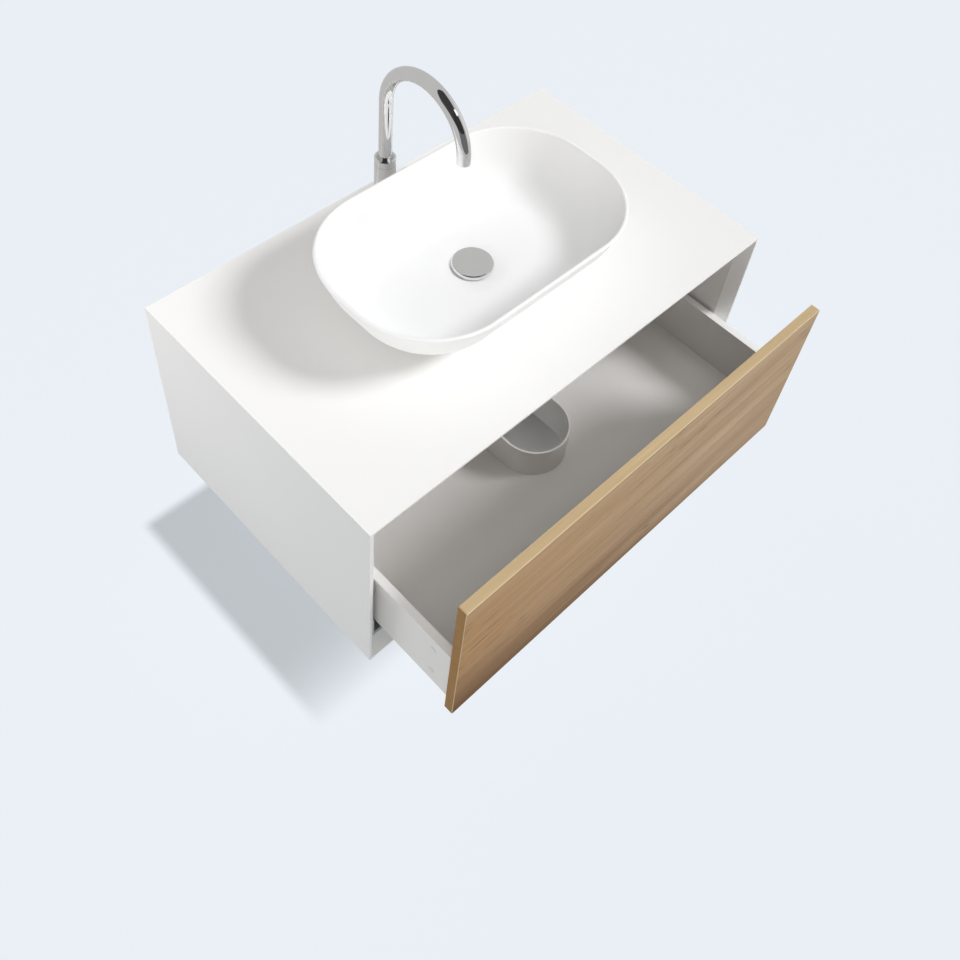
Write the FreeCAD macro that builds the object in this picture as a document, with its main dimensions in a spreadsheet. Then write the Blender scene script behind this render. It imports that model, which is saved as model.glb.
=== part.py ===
import FreeCAD, Part
import math
import os
from types import SimpleNamespace

import Sketcher

# Wall-hung vanity unit: a mitred white box, one drawer on concealed runners, a vessel basin with its waste
# and bottle trap, and a gooseneck tap with a side lever.
# Frame: the wall is the plane Y = 0 and the unit stands out of it towards -Y, +X is to the right of someone
# who faces the unit, +Z is up, and Z = 0 is the line of the two wall bolts.

# Driving sizes in millimetres, by piece.
SIZES = {
    # cabinet box
    "cabinet_width": 800,
    "cabinet_depth": 480,
    "cabinet_height": 360,
    "panel_thickness": 22,
    "front_land": 3.5,
    "bolt_drop": 70,
    # back rails and wall bolts
    "back_rail_thickness": 18,
    "upper_rail_height": 90,
    "lower_rail_height": 70,
    "bolt_inset": 48,
    "bolt_hole_diameter": 10,
    # hanger brackets
    "bracket_gauge": 3,
    "bracket_height": 64,
    "bracket_wall_leg": 80,
    "bracket_side_leg": 62,
    "bracket_bend_radius": 5,
    # wood screws of the brackets and the runners
    "screw_diameter": 4,
    "screw_grip": 14,
    "screw_head_diameter": 7,
    "screw_head_height": 2,
    "bracket_screw_spacing": 36,
    "bracket_screw_edge": 16,
    # drawer front
    "front_side_gap": 3,
    "front_top_gap": 4,
    "front_bottom_gap": 5,
    "front_thickness": 15,
    "front_edge_break": 1.2,
    "front_corner": 3,
    "drawer_opening": 146,
    # drawer box
    "side_inset": 2,
    "side_thickness": 12.5,
    "side_height": 120,
    "side_rise": 36,
    "drawer_back_gap": 65,
    "bottom_thickness": 12,
    "bottom_recess": 11,
    "groove_depth": 6,
    "groove_fit": 0.2,
    "back_thickness": 12.5,
    # recess for the trap
    "recess_radius": 58.5,
    "recess_wall": 3,
    "recess_lead": 18,
    "recess_rise": 60,
    "recess_fit": 0.2,
    # cam locks and bolts between the sides and the front
    "cam_diameter": 11,
    "cam_depth": 9,
    "cam_setback": 34,
    "cam_upper_drop": 27,
    "cam_lower_drop": 91,
    "cam_bolt_diameter": 6,
    "cam_bolt_bury": 9,
    "hole_fit": 0.1,
    # screws through the sides into the back boards
    "back_screw_diameter": 5,
    "back_screw_length": 40,
    "back_screw_head_diameter": 8,
    "back_screw_head_height": 3,
    # concealed runners
    "runner_gauge": 1.5,
    "runner_gap": 0.3,
    "rail_setback": 3,
    "rail_back_gap": 32,
    "rail_width": 40,
    "rail_flange": 40,
    "rail_lip": 12,
    "rail_drop": 43,
    "member_inset": 1.5,
    "member_width": 18,
    "member_height": 24,
    "member_setback": 4,
    "member_end_gap": 6,
    "middle_setback": 8,
    "middle_shortfall": 30,
    "clip_width": 33,
    "clip_length": 46,
    "clip_height": 14,
    "clip_setback": 3,
    "clip_slope": 20,
    # basin
    "basin_length": 480,
    "basin_width": 305,
    "basin_corner": 132,
    "basin_height": 98,
    "basin_from_tap": 44.5,
    "rim_width": 6.5,
    "rim_radius": 3.4,
    "rim_drop": 2.4,
    "upper_wall_drop": 40,
    "upper_wall_inset": 15,
    "wall_thickness": 7,
    "foot_inset": 88,
    "bowl_floor_inset": 95,
    "ring_overlap": 6,
    "floor_thickness": 11,
    "sealant_thickness": 1,
    "sealant_setback": 5,
    "sealant_width": 10,
    # waste in the basin
    "drain_dish_diameter": 108,
    "drain_seat_diameter": 68,
    "drain_seat_depth": 1.5,
    "basin_hole_diameter": 44,
    "counter_hole_diameter": 46,
    "flange_diameter": 62,
    "flange_thickness": 2,
    "flange_seal_thickness": 1.5,
    "flange_seal_diameter": 60,
    "waste_diameter": 40,
    "waste_wall": 3,
    "waste_length": 95,
    "waste_ledge": 3,
    "waste_ledge_depth": 46,
    "thread_fit": 0.2,
    "guide_height": 34,
    "guide_wall": 3,
    "guide_hub_diameter": 18,
    "guide_arm": 3,
    "plunger_diameter": 10,
    "plunger_length": 52,
    "slide_fit": 0.05,
    "cap_diameter": 64,
    "cap_thickness": 6,
    "cap_crown": 1.2,
    "cap_edge_radius": 2.8,
    "cap_gap": 0.8,
    "cap_hollow": 2,
    "cap_rim": 4,
    "cap_boss_diameter": 18,
    "waste_washer_diameter": 60,
    "waste_washer_thickness": 4,
    "waste_nut_across": 62,
    "waste_nut_height": 12,
    # bottle trap
    "coupling_diameter": 52,
    "coupling_height": 22,
    "coupling_lip": 3,
    "coupling_washer_thickness": 2,
    "inlet_flange_thickness": 3,
    "inlet_diameter": 32,
    "inlet_wall": 2,
    "inlet_length": 125,
    "outlet_drop": 150,
    "head_diameter": 58,
    "head_wall": 3,
    "head_above_outlet": 27,
    "head_below_outlet": 32,
    "inlet_nut_diameter": 48,
    "inlet_nut_height": 14,
    "cup_diameter": 60,
    "cup_wall": 3,
    "cup_depth": 56,
    "cup_round": 14,
    "cup_collar_diameter": 66,
    "cup_collar_rise": 10,
    "cup_collar_drop": 4,
    "stub_reach": 52,
    "stub_wall": 3,
    "outlet_nut_diameter": 52,
    "outlet_nut_length": 18,
    "outlet_nut_lip": 3,
    "outlet_diameter": 32,
    "outlet_wall": 2,
    "outlet_start": 36,
    "outlet_reach": 35,
    "outlet_bead_diameter": 35,
    "outlet_bead_length": 3,
    "wall_flange_diameter": 70,
    "wall_flange_depth": 9,
    "wall_flange_lip": 2,
    "wall_flange_neck": 4,
    # tap foot, body and fixing
    "tap_from_wall": 43,
    "tap_hole_diameter": 35,
    "gasket_diameter": 45,
    "gasket_thickness": 1.5,
    "tap_foot_diameter": 46,
    "tap_foot_height": 5,
    "tap_foot_break": 1.5,
    "tap_body_diameter": 33,
    "tap_body_height": 75,
    "shank_diameter": 28,
    "shank_wall": 2.5,
    "shank_socket": 6,
    "shank_length": 88,
    "tap_washer_diameter": 44,
    "tap_rubber_thickness": 3,
    "tap_washer_thickness": 1.5,
    "tap_nut_across": 43,
    "tap_nut_height": 10,
    "tail_diameter": 10,
    "tail_bore": 6,
    "tail_spacing": 11.4,
    "tail_length": 118,
    # spout
    "spout_diameter": 20.5,
    "spout_wall": 2,
    "spout_root": 38,
    "spout_radius": 80.5,
    "spout_centre_height": 193.5,
    "spout_tip": 7,
    "collar_height": 12,
    "collar_gap": 0.3,
    "collar_break": 1,
    "collar_sink": 3.5,
    "waterway_diameter": 12,
    "aerator_length": 5.5,
    "aerator_bore": 9,
    "aerator_setback": 1,
    # side lever
    "side_axis_height": 20,
    "side_housing_diameter": 27,
    "side_housing_reach": 36,
    "cartridge_diameter": 22,
    "cartridge_start": 13,
    "stem_diameter": 8,
    "stem_start": 20,
    "stem_socket": 4,
    "lever_cap_diameter": 29,
    "lever_cap_length": 18,
    "lever_cap_gap": 0.3,
    "lever_cap_break": 2,
    "lever_diameter": 7,
    "lever_reach": 52,
    "lever_heel": 3.5,
    "lever_tip_break": 1.2,
    "lever_pivot": 11,
    "lever_slot_fit": 0.3,
    "lever_slot_start": 5.3,
    "lever_slot_rise": 10,
    "lever_slot_drop": 5.3,
    "lever_pin_diameter": 3,
    "lever_pin_length": 23,
    # added to every cut that has to pass right through
    "overrun": 5,
}

# Shares of the length that each of these follows, and plain turns in degrees.
RAIL_SCREW_SHARES = (0.1, 0.5, 0.9)
RAIL_SCREW_HEIGHT_SHARE = 0.45
BACK_SCREW_SHARES = (0.25, 0.75)
HEX_CORNER_SHARE = 1 / math.sqrt(3)
GUIDE_ARM_TURNS = (0, 120, 240)
FULL_TURN = 360


class Size:
    """A length that keeps its number together with its spreadsheet formula."""

    def __init__(self, number, formula):
        self.number = number
        self.formula = formula

    def __add__(self, other):
        return Size(self.number + plain(other), f"({self.formula} + {text(other)})")

    def __sub__(self, other):
        return Size(self.number - plain(other), f"({self.formula} - {text(other)})")

    def __rsub__(self, other):
        return Size(plain(other) - self.number, f"({text(other)} - {self.formula})")

    def __mul__(self, other):
        return Size(self.number * plain(other), f"({self.formula} * {text(other)})")

    def __truediv__(self, other):
        return Size(self.number / plain(other), f"({self.formula} / {text(other)})")

    def __neg__(self):
        return Size(-self.number, f"(-1 * {self.formula})")


def plain(size):
    return size.number if isinstance(size, Size) else size


def text(size):
    return size.formula if isinstance(size, Size) else f"({size})"


doc = FreeCAD.newDocument("vanity_unit")
sheet = doc.addObject("Spreadsheet::Sheet", "sizes")
for row, (name, number) in enumerate(SIZES.items(), start=1):
    sheet.set(f"A{row}", name)
    sheet.set(f"B{row}", str(number))
    sheet.setAlias(f"B{row}", name)
doc.recompute()
d = SimpleNamespace(**{name: Size(number, f"sizes.{name}") for name, number in SIZES.items()})

NODES = []
UPRIGHT = FreeCAD.Rotation()
ALONG_X = FreeCAD.Rotation(FreeCAD.Vector(0, 1, 0), 90)
ALONG_Y = FreeCAD.Rotation(FreeCAD.Vector(1, 0, 0), -90)
SIDES = (("left", -1), ("right", 1))


# Helpers for objects that the spreadsheet drives.
def bind(item, prop, size):
    if isinstance(size, Size):
        item.setExpression(prop, size.formula)


def place(item, at, turn=UPRIGHT):
    item.Placement = FreeCAD.Placement(FreeCAD.Vector(), turn)
    for axis, size in zip("xyz", at):
        bind(item, f"Placement.Base.{axis}", size)
    return item


def node(item, label):
    item.Label = label
    NODES.append(item)
    return item


def box(name, low, high):
    """A block from its low corner to its high corner."""
    item = doc.addObject("Part::Box", name)
    for prop, start, end in zip(("Length", "Width", "Height"), low, high):
        bind(item, prop, end - start)
    return place(item, low)


def rod(name, diameter, length, at, turn=UPRIGHT):
    item = doc.addObject("Part::Cylinder", name)
    bind(item, "Radius", diameter / 2)
    bind(item, "Height", length)
    return place(item, at, turn)


def fuse(name, items):
    item = doc.addObject("Part::MultiFuse", name)
    item.Shapes = items
    return item


def cut(name, base, tools):
    item = doc.addObject("Part::Cut", name)
    item.Base = base
    item.Tool = tools[0] if len(tools) == 1 else fuse(f"{name}_cuts", tools)
    return item


def group(name, items):
    item = doc.addObject("Part::Compound", name)
    item.Links = items
    return item


def hex_nut(name, across, height, bore, at):
    item = doc.addObject("Part::Prism", f"{name}_hexagon")
    item.Polygon = 6
    bind(item, "Circumradius", across * HEX_CORNER_SHARE)
    bind(item, "Height", height)
    place(item, at)
    x, y, z = at
    hole = rod(f"{name}_bore", bore, height + d.overrun * 2, (x, y, z - d.overrun))
    return cut(name, item, [hole])


def sketch_on(body, name, role, offset=None):
    plane = next(feature for feature in body.Origin.OriginFeatures if feature.Role == role)
    sketch = body.newObject("Sketcher::SketchObject", name)
    sketch.AttachmentSupport = [(plane, "")]
    sketch.MapMode = "FlatFace"
    bind(sketch, "AttachmentOffset.Base.z", offset)
    return sketch


def limit(sketch, kind, where, size):
    index = sketch.addConstraint(Sketcher.Constraint(kind, *where, size.number))
    sketch.renameConstraint(index, f"{kind.lower()}_{index}")
    sketch.setExpression(f"Constraints.{kind.lower()}_{index}", size.formula)


def pin_point(sketch, edge, end, x, y):
    """Tie a point to the sketch's origin, or to an axis where its place is zero."""
    for kind, axis, size in (("DistanceX", -2, x), ("DistanceY", -1, y)):
        if isinstance(size, Size):
            limit(sketch, kind, (-1, 1, edge, end), size)
        else:
            sketch.addConstraint(Sketcher.Constraint("PointOnObject", edge, end, axis))


def add_arc(sketch, start, end, centre, turns_left):
    radius = (start - centre).Length
    angles = [math.atan2(point.y - centre.y, point.x - centre.x) for point in (start, end)]
    if not turns_left:
        angles.reverse()
    if angles[1] <= angles[0]:
        angles[1] += 2 * math.pi
    circle = Part.Circle(centre, FreeCAD.Vector(0, 0, 1), radius)
    edge = sketch.addGeometry(Part.ArcOfCircle(circle, *angles))
    return (edge, 1, 2) if turns_left else (edge, 2, 1)


def centre_by_radius(start, end, radius, turns_left):
    chord = end - start
    rise = math.sqrt(radius**2 - (chord.Length / 2) ** 2)
    across = FreeCAD.Vector(-chord.y, chord.x, 0).normalize()
    return (start + end) * 0.5 + across * (rise if turns_left else -rise)


def centre_by_tangent(beyond, start, end):
    """Centre of the arc from start to end that carries on from the line between beyond and start."""
    along = (start - beyond).normalize()
    across = FreeCAD.Vector(-along.y, along.x, 0)
    chord = end - start
    return start + across * (chord.Length**2 / (2 * across.dot(chord)))


def outline(sketch, corners, closed=True):
    """Draw lines and arcs through corners (x, y) or (x, y, arc), where arc describes the run that follows.

    An arc is ("left", radius) or ("right", radius) by the way it turns, ("smooth",) where it carries on from
    the line before it, or ("lead",) where it runs into the line after it.
    """
    points = [FreeCAD.Vector(plain(corner[0]), plain(corner[1]), 0) for corner in corners]
    arcs = [corner[2] if len(corner) > 2 else ("line",) for corner in corners]
    count = len(points)
    runs = count if closed else count - 1
    edges = []
    for run in range(runs):
        before, start = points[run - 1], points[run]
        end, after = points[(run + 1) % count], points[(run + 2) % count]
        kind = arcs[run][0]
        if kind == "line":
            edges.append((sketch.addGeometry(Part.LineSegment(start, end)), 1, 2))
            continue
        if kind == "smooth":
            turns_left = (start - before).cross(end - start).z > 0
            centre = centre_by_tangent(before, start, end)
        elif kind == "lead":
            turns_left = (end - start).cross(after - end).z > 0
            centre = centre_by_tangent(after, end, start)
        else:
            turns_left = kind == "left"
            centre = centre_by_radius(start, end, plain(arcs[run][1]), turns_left)
        edges.append(add_arc(sketch, start, end, centre, turns_left))
    for run in range(runs if closed else runs - 1):
        following = (run + 1) % runs
        this, after = edges[run], edges[following]
        flows = arcs[run][0] == "lead" or arcs[following][0] == "smooth"
        kind = "Tangent" if flows else "Coincident"
        sketch.addConstraint(Sketcher.Constraint(kind, this[0], this[2], after[0], after[1]))
    for run, (edge, first, last) in enumerate(edges):
        pin_point(sketch, edge, first, corners[run][0], corners[run][1])
        if len(arcs[run]) > 1:
            limit(sketch, "Radius", (edge,), arcs[run][1])
    if not closed:
        pin_point(sketch, edges[-1][0], edges[-1][2], corners[-1][0], corners[-1][1])


def ring(sketch, x, y, diameter):
    centre = FreeCAD.Vector(plain(x), plain(y), 0)
    edge = sketch.addGeometry(Part.Circle(centre, FreeCAD.Vector(0, 0, 1), diameter.number / 2))
    pin_point(sketch, edge, 3, x, y)
    limit(sketch, "Radius", (edge,), diameter / 2)


def new_body(name):
    return doc.addObject("PartDesign::Body", name)


def pad(body, sketch, length):
    feature = body.newObject("PartDesign::Pad", f"{sketch.Name}_pad")
    feature.Profile = sketch
    bind(feature, "Length", length)
    return feature


def pocket_through(body, sketch):
    feature = body.newObject("PartDesign::Pocket", f"{sketch.Name}_pocket")
    feature.Profile = sketch
    feature.SideType = "Symmetric"
    feature.Type = "ThroughAll"
    return feature


def sweep(body, section, path):
    feature = body.newObject("PartDesign::AdditivePipe", f"{body.Name}_sweep")
    feature.Profile = section
    feature.Spine = (path, [])
    return feature


def spin(body, kind, sketch):
    feature = body.newObject(f"PartDesign::{kind}", f"{sketch.Name}_{kind.lower()}")
    feature.Profile = sketch
    feature.ReferenceAxis = (sketch, ["V_Axis"])
    feature.Angle = FULL_TURN
    return feature


def prism(name, role, outlines, length, offset=None):
    """A body padded along an origin plane's normal from an outline, with any further outlines as holes."""
    body = new_body(name)
    sketch = sketch_on(body, f"{name}_outline", role, offset)
    for corners in outlines:
        outline(sketch, corners)
    pad(body, sketch, length)
    return body


def turned(name, profile, at, turn=UPRIGHT):
    """A body turned about its own Z axis from a profile of (radius, height) corners."""
    body = new_body(name)
    sketch = sketch_on(body, f"{name}_profile", "XZ_Plane")
    outline(sketch, profile)
    spin(body, "Revolution", sketch)
    return place(body, at, turn)


def tube(name, bore, diameter, length, at, turn=UPRIGHT):
    profile = [(bore / 2, 0), (diameter / 2, 0), (diameter / 2, length), (bore / 2, length)]
    return turned(name, profile, at, turn)


def dress(body, kind, base, test, prop, size):
    """Round or bevel the edges of a feature that pass a test."""
    doc.recompute()
    edges = [f"Edge{index}" for index, edge in enumerate(base.Shape.Edges, start=1) if test(edge)]
    feature = body.newObject(f"PartDesign::{kind}", f"{body.Name}_{kind.lower()}")
    feature.Base = (base, edges)
    bind(feature, prop, size)
    return feature


def along_x(sign, near, far):
    """Low end of a stretch along X between two distances from the middle."""
    return near if sign > 0 else -far


# Planes and lines that several pieces share.
half_width = d.cabinet_width / 2
inner_half = half_width - d.panel_thickness
top_z = d.bolt_drop
ceiling_z = top_z - d.panel_thickness
base_z = top_z - d.cabinet_height
floor_z = base_z + d.panel_thickness
front_y = -d.cabinet_depth
rail_face_y = -d.back_rail_thickness
tap_y = -d.tap_from_wall
bowl_y = tap_y - d.basin_from_tap - d.basin_width / 2
bolt_x = inner_half - d.bolt_inset

drawer_y = front_y - d.drawer_opening
front_back_y = drawer_y + d.front_thickness
drawer_length = d.cabinet_depth - d.front_thickness - d.drawer_back_gap
drawer_end_y = front_back_y + drawer_length
front_half = inner_half - d.front_side_gap
front_low = floor_z + d.front_bottom_gap
front_high = ceiling_z - d.front_top_gap
side_outer = front_half - d.side_inset
side_inner = side_outer - d.side_thickness
side_low = front_low + d.side_rise
side_high = side_low + d.side_height
bottom_low = side_low + d.bottom_recess
bottom_high = bottom_low + d.bottom_thickness
recess_y = bowl_y - d.recess_lead - d.drawer_opening

rail_front_y = front_y + d.front_thickness + d.rail_setback
rail_end_y = -d.rail_back_gap
rail_length = rail_end_y - rail_front_y
rail_low = bottom_low - d.rail_drop
rail_screw_z = rail_low + d.rail_flange * RAIL_SCREW_HEIGHT_SHARE
rail_screw_ys = [rail_front_y + rail_length * share for share in RAIL_SCREW_SHARES]
screw_hole = d.screw_diameter + d.hole_fit * 2

bracket_face_y = rail_face_y - d.bracket_gauge
bracket_end_y = rail_face_y - d.bracket_side_leg
bracket_screw_y = bracket_end_y + d.bracket_screw_edge
bracket_screw_zs = [-d.bracket_screw_spacing / 2, d.bracket_screw_spacing / 2]


# Cabinet box: four white boards, mitred where they meet and bevelled inside along the front.
def mitred_panel(name, corners):
    """A board from its outer corners, then its inner ones."""
    body = new_body(name)
    sketch = sketch_on(body, f"{name}_mitres", "XZ_Plane")
    outline(sketch, corners)
    board = pad(body, sketch, d.cabinet_depth)
    ends = [FreeCAD.Vector(corner[0].number, front_y.number, corner[1].number) for corner in corners[2:]]
    inner_middle = (ends[0] + ends[1]) * 0.5

    def inner_front_edge(edge):
        return (edge.CenterOfMass - inner_middle).Length < d.front_land.number

    dress(body, "Chamfer", board, inner_front_edge, "Size", d.panel_thickness - d.front_land)
    return body


def drilled_for_screws(name, sign, board):
    """Pilot holes for the bracket screws and the runner screws in one side panel."""
    places = [(bracket_screw_y, z) for z in bracket_screw_zs] + [(y, rail_screw_z) for y in rail_screw_ys]
    low_x = along_x(sign, inner_half - d.overrun, inner_half + d.screw_grip)
    holes = [
        rod(f"{name}_pilot_{number}", screw_hole, d.screw_grip + d.overrun, (low_x, y, z), ALONG_X)
        for number, (y, z) in enumerate(places)
    ]
    return cut(f"{name}_drilled", board, holes)


counter_corners = [
    (-half_width, top_z),
    (half_width, top_z),
    (inner_half, ceiling_z),
    (-inner_half, ceiling_z),
]
counter = mitred_panel("counter_board", counter_corners)
counter_holes = sketch_on(counter, "counter_holes", "XY_Plane")
ring(counter_holes, 0, bowl_y, d.counter_hole_diameter)
ring(counter_holes, 0, tap_y, d.tap_hole_diameter)
pocket_through(counter, counter_holes)
node(counter, "counter_top")

base_corners = [
    (half_width, base_z),
    (-half_width, base_z),
    (-inner_half, floor_z),
    (inner_half, floor_z),
]
node(mitred_panel("base_board", base_corners), "bottom_panel")

for side, sign in SIDES:
    side_corners = [
        (half_width * sign, base_z),
        (half_width * sign, top_z),
        (inner_half * sign, ceiling_z),
        (inner_half * sign, floor_z),
    ]
    board = mitred_panel(f"{side}_board", side_corners)
    node(drilled_for_screws(f"{side}_board", sign, board), f"{side}_side_panel")

# Back rails: two boards between the sides, flush with the wall; the upper one takes the wall bolts.
upper_low = ceiling_z - d.upper_rail_height
upper_rail = box("upper_rail", (-inner_half, rail_face_y, upper_low), (inner_half, 0, ceiling_z))
bolt_bore_length = d.back_rail_thickness + d.overrun * 2
bolt_bores = []
for side, sign in SIDES:
    at = (bolt_x * sign, rail_face_y - d.overrun, 0)
    bolt_bores.append(rod(f"bolt_bore_{side}", d.bolt_hole_diameter, bolt_bore_length, at, ALONG_Y))
node(cut("upper_rail_drilled", upper_rail, bolt_bores), "back_rail_upper")
lower_high = floor_z + d.lower_rail_height
node(box("lower_rail", (-inner_half, rail_face_y, floor_z), (inner_half, 0, lower_high)), "back_rail_lower")


# Hanger brackets: bent steel angles in the upper back corners that carry the side panels on the wall bolts.
def hanger_bracket(side, sign):
    name = f"{side}_bracket"
    skin = inner_half - d.bracket_gauge
    leg_x = (inner_half - d.bracket_wall_leg) * sign
    bend = ("right" if sign > 0 else "left", d.bracket_bend_radius)
    corners = [
        (leg_x, rail_face_y),
        (leg_x, bracket_face_y),
        ((skin - d.bracket_bend_radius) * sign, bracket_face_y, bend),
        (skin * sign, bracket_face_y - d.bracket_bend_radius),
        (skin * sign, bracket_end_y),
        (inner_half * sign, bracket_end_y),
        (inner_half * sign, rail_face_y),
    ]
    angle = prism(name, "XY_Plane", [corners], d.bracket_height, -d.bracket_height / 2)
    at = (bolt_x * sign, bracket_face_y - d.overrun, 0)
    length = d.bracket_gauge + d.overrun * 2
    holes = [rod(f"{name}_bolt_hole", d.bolt_hole_diameter, length, at, ALONG_Y)]
    low_x = along_x(sign, skin - d.overrun, inner_half + d.overrun)
    for number, z in enumerate(bracket_screw_zs):
        at = (low_x, bracket_screw_y, z)
        holes.append(rod(f"{name}_screw_hole_{number}", screw_hole, length, at, ALONG_X))
    return cut(f"{name}_drilled", angle, holes)


def wood_screw(name, sign, seat, y, z):
    """A flat-headed wood screw along X whose head sits on a plate's face, seat away from the middle."""
    at = (along_x(sign, seat - d.screw_head_height, seat), y, z)
    head = rod(f"{name}_head", d.screw_head_diameter, d.screw_head_height, at, ALONG_X)
    at = (along_x(sign, seat, seat + d.screw_grip), y, z)
    shank = rod(f"{name}_shank", d.screw_diameter, d.screw_grip, at, ALONG_X)
    return fuse(name, [head, shank])


bracket_screws = []
for side, sign in SIDES:
    node(hanger_bracket(side, sign), f"hanger_bracket_{side}")
    for number, z in enumerate(bracket_screw_zs):
        seat = inner_half - d.bracket_gauge
        bracket_screws.append(wood_screw(f"bracket_screw_{side}_{number}", sign, seat, bracket_screw_y, z))
node(group("bracket_screw_group", bracket_screws), "bracket_screws")

# Runners: a fixed rail on each side panel, a middle member and a drawer member under the drawer's bottom.
gauge = d.runner_gauge
member_near = inner_half - side_inner + d.member_inset
member_far = member_near + d.member_width
member_front_y = front_back_y + d.member_setback
member_length = drawer_length - d.member_setback - d.member_end_gap
middle_length = member_length - d.middle_shortfall
middle_near = member_near + gauge + d.runner_gap
middle_far = member_far - gauge - d.runner_gap
middle_low = rail_low + gauge + d.runner_gap
middle_high = bottom_low - gauge - d.runner_gap
middle_front_y = rail_front_y + d.middle_setback - d.drawer_opening / 2


def in_from_panel(sign, corners):
    """Profile corners from (distance in from the side panel, height) pairs."""
    return [((inner_half - inset) * sign, z) for inset, z in corners]


def runner_rail(side, sign):
    name = f"{side}_rail"
    corners = [
        (0, rail_low),
        (d.rail_width, rail_low),
        (d.rail_width, rail_low + d.rail_lip),
        (d.rail_width - gauge, rail_low + d.rail_lip),
        (d.rail_width - gauge, rail_low + gauge),
        (gauge, rail_low + gauge),
        (gauge, rail_low + d.rail_flange),
        (0, rail_low + d.rail_flange),
    ]
    rail = prism(name, "XZ_Plane", [in_from_panel(sign, corners)], rail_length, -rail_end_y)
    low_x = along_x(sign, inner_half - gauge - d.overrun, inner_half + d.overrun)
    length = gauge + d.overrun * 2
    holes = [
        rod(f"{name}_hole_{number}", screw_hole, length, (low_x, y, rail_screw_z), ALONG_X)
        for number, y in enumerate(rail_screw_ys)
    ]
    return cut(f"{name}_drilled", rail, holes)


def runner_middle(side, sign):
    skin = [
        (middle_near, middle_low),
        (middle_far, middle_low),
        (middle_far, middle_high),
        (middle_near, middle_high),
    ]
    hollow = [
        (middle_near + gauge, middle_low + gauge),
        (middle_far - gauge, middle_low + gauge),
        (middle_far - gauge, middle_high - gauge),
        (middle_near + gauge, middle_high - gauge),
    ]
    outlines = [in_from_panel(sign, skin), in_from_panel(sign, hollow)]
    end_y = middle_front_y + middle_length
    return prism(f"{side}_middle", "XZ_Plane", outlines, middle_length, -end_y)


def runner_drawer_member(side, sign):
    low = bottom_low - d.member_height
    corners = [
        (member_near, low),
        (member_near + gauge, low),
        (member_near + gauge, bottom_low - gauge),
        (member_far - gauge, bottom_low - gauge),
        (member_far - gauge, low),
        (member_far, low),
        (member_far, bottom_low),
        (member_near, bottom_low),
    ]
    end_y = member_front_y + member_length
    return prism(f"{side}_member", "XZ_Plane", [in_from_panel(sign, corners)], member_length, -end_y)


def locking_clip(side, sign):
    """Plastic catch under the drawer's front corner that holds the drawer to its runner."""
    low = bottom_low - d.clip_height
    start = front_back_y + d.clip_setback
    end = start + d.clip_length
    corners = [
        (start, bottom_low),
        (start, low),
        (end - d.clip_slope, low),
        (end, low + d.clip_height / 2),
        (end, bottom_low),
    ]
    far = inner_half - member_far
    low_x = along_x(sign, far - d.clip_width, far)
    return prism(f"{side}_clip", "YZ_Plane", [corners], d.clip_width, low_x)


clips = []
rail_screws = []
for side, sign in SIDES:
    node(runner_rail(side, sign), f"runner_rail_{side}")
    node(runner_middle(side, sign), f"runner_middle_{side}")
    node(runner_drawer_member(side, sign), f"runner_drawer_member_{side}")
    clips.append(locking_clip(side, sign))
    for number, y in enumerate(rail_screw_ys):
        seat = inner_half - gauge
        rail_screws.append(wood_screw(f"rail_screw_{side}_{number}", sign, seat, y, rail_screw_z))
node(group("clip_pair", clips), "runner_clips")
node(group("rail_screw_group", rail_screws), "runner_screws")

# Drawer front: one oak-faced board with lightly broken edges and blind holes for the cam bolts.
cam_y = front_back_y + d.cam_setback
cam_zs = [side_high - d.cam_upper_drop, side_high - d.cam_lower_drop]
cam_hole = d.cam_diameter + d.hole_fit * 2
cam_bolt_x = side_outer - d.cam_depth / 2
cam_bolt_hole = d.cam_bolt_diameter + d.hole_fit * 2
cam_bolt_y = front_back_y - d.cam_bolt_bury
cam_bolt_length = cam_y - d.cam_diameter / 2 - d.hole_fit - cam_bolt_y

front = new_body("front_board")
front_outline = sketch_on(front, "front_outline", "XZ_Plane", -front_back_y)
front_round = ("left", d.front_corner)
front_corners = [
    (d.front_corner - front_half, front_low),
    (front_half - d.front_corner, front_low, front_round),
    (front_half, front_low + d.front_corner),
    (front_half, front_high - d.front_corner, front_round),
    (front_half - d.front_corner, front_high),
    (d.front_corner - front_half, front_high, front_round),
    (-front_half, front_high - d.front_corner),
    (-front_half, front_low + d.front_corner, front_round),
]
outline(front_outline, front_corners)
front_pad = pad(front, front_outline, d.front_thickness)


def front_face_edge(edge):
    return abs(edge.BoundBox.YMax - drawer_y.number) < d.front_edge_break.number


dress(front, "Fillet", front_pad, front_face_edge, "Radius", d.front_edge_break)
front_holes = []
for side, sign in SIDES:
    for number, z in enumerate(cam_zs):
        at = (cam_bolt_x * sign, cam_bolt_y, z)
        length = d.cam_bolt_bury + d.overrun
        front_holes.append(rod(f"front_hole_{side}_{number}", cam_bolt_hole, length, at, ALONG_Y))
node(cut("front_drilled", front, front_holes), "drawer_front")

# Drawer sides: grooved boards, each locked to the front by two cams and screwed to a back board.
back_low_y = drawer_end_y - d.back_thickness
back_screw_y = drawer_end_y - d.back_thickness / 2
back_screw_zs = [bottom_high + (side_high - bottom_high) * share for share in BACK_SCREW_SHARES]
back_screw_end = side_outer - d.back_screw_length
back_screw_seat = side_outer - d.back_screw_head_height
back_screw_hole = d.back_screw_diameter + d.hole_fit * 2
back_head_hole = d.back_screw_head_diameter + d.hole_fit * 2


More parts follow.
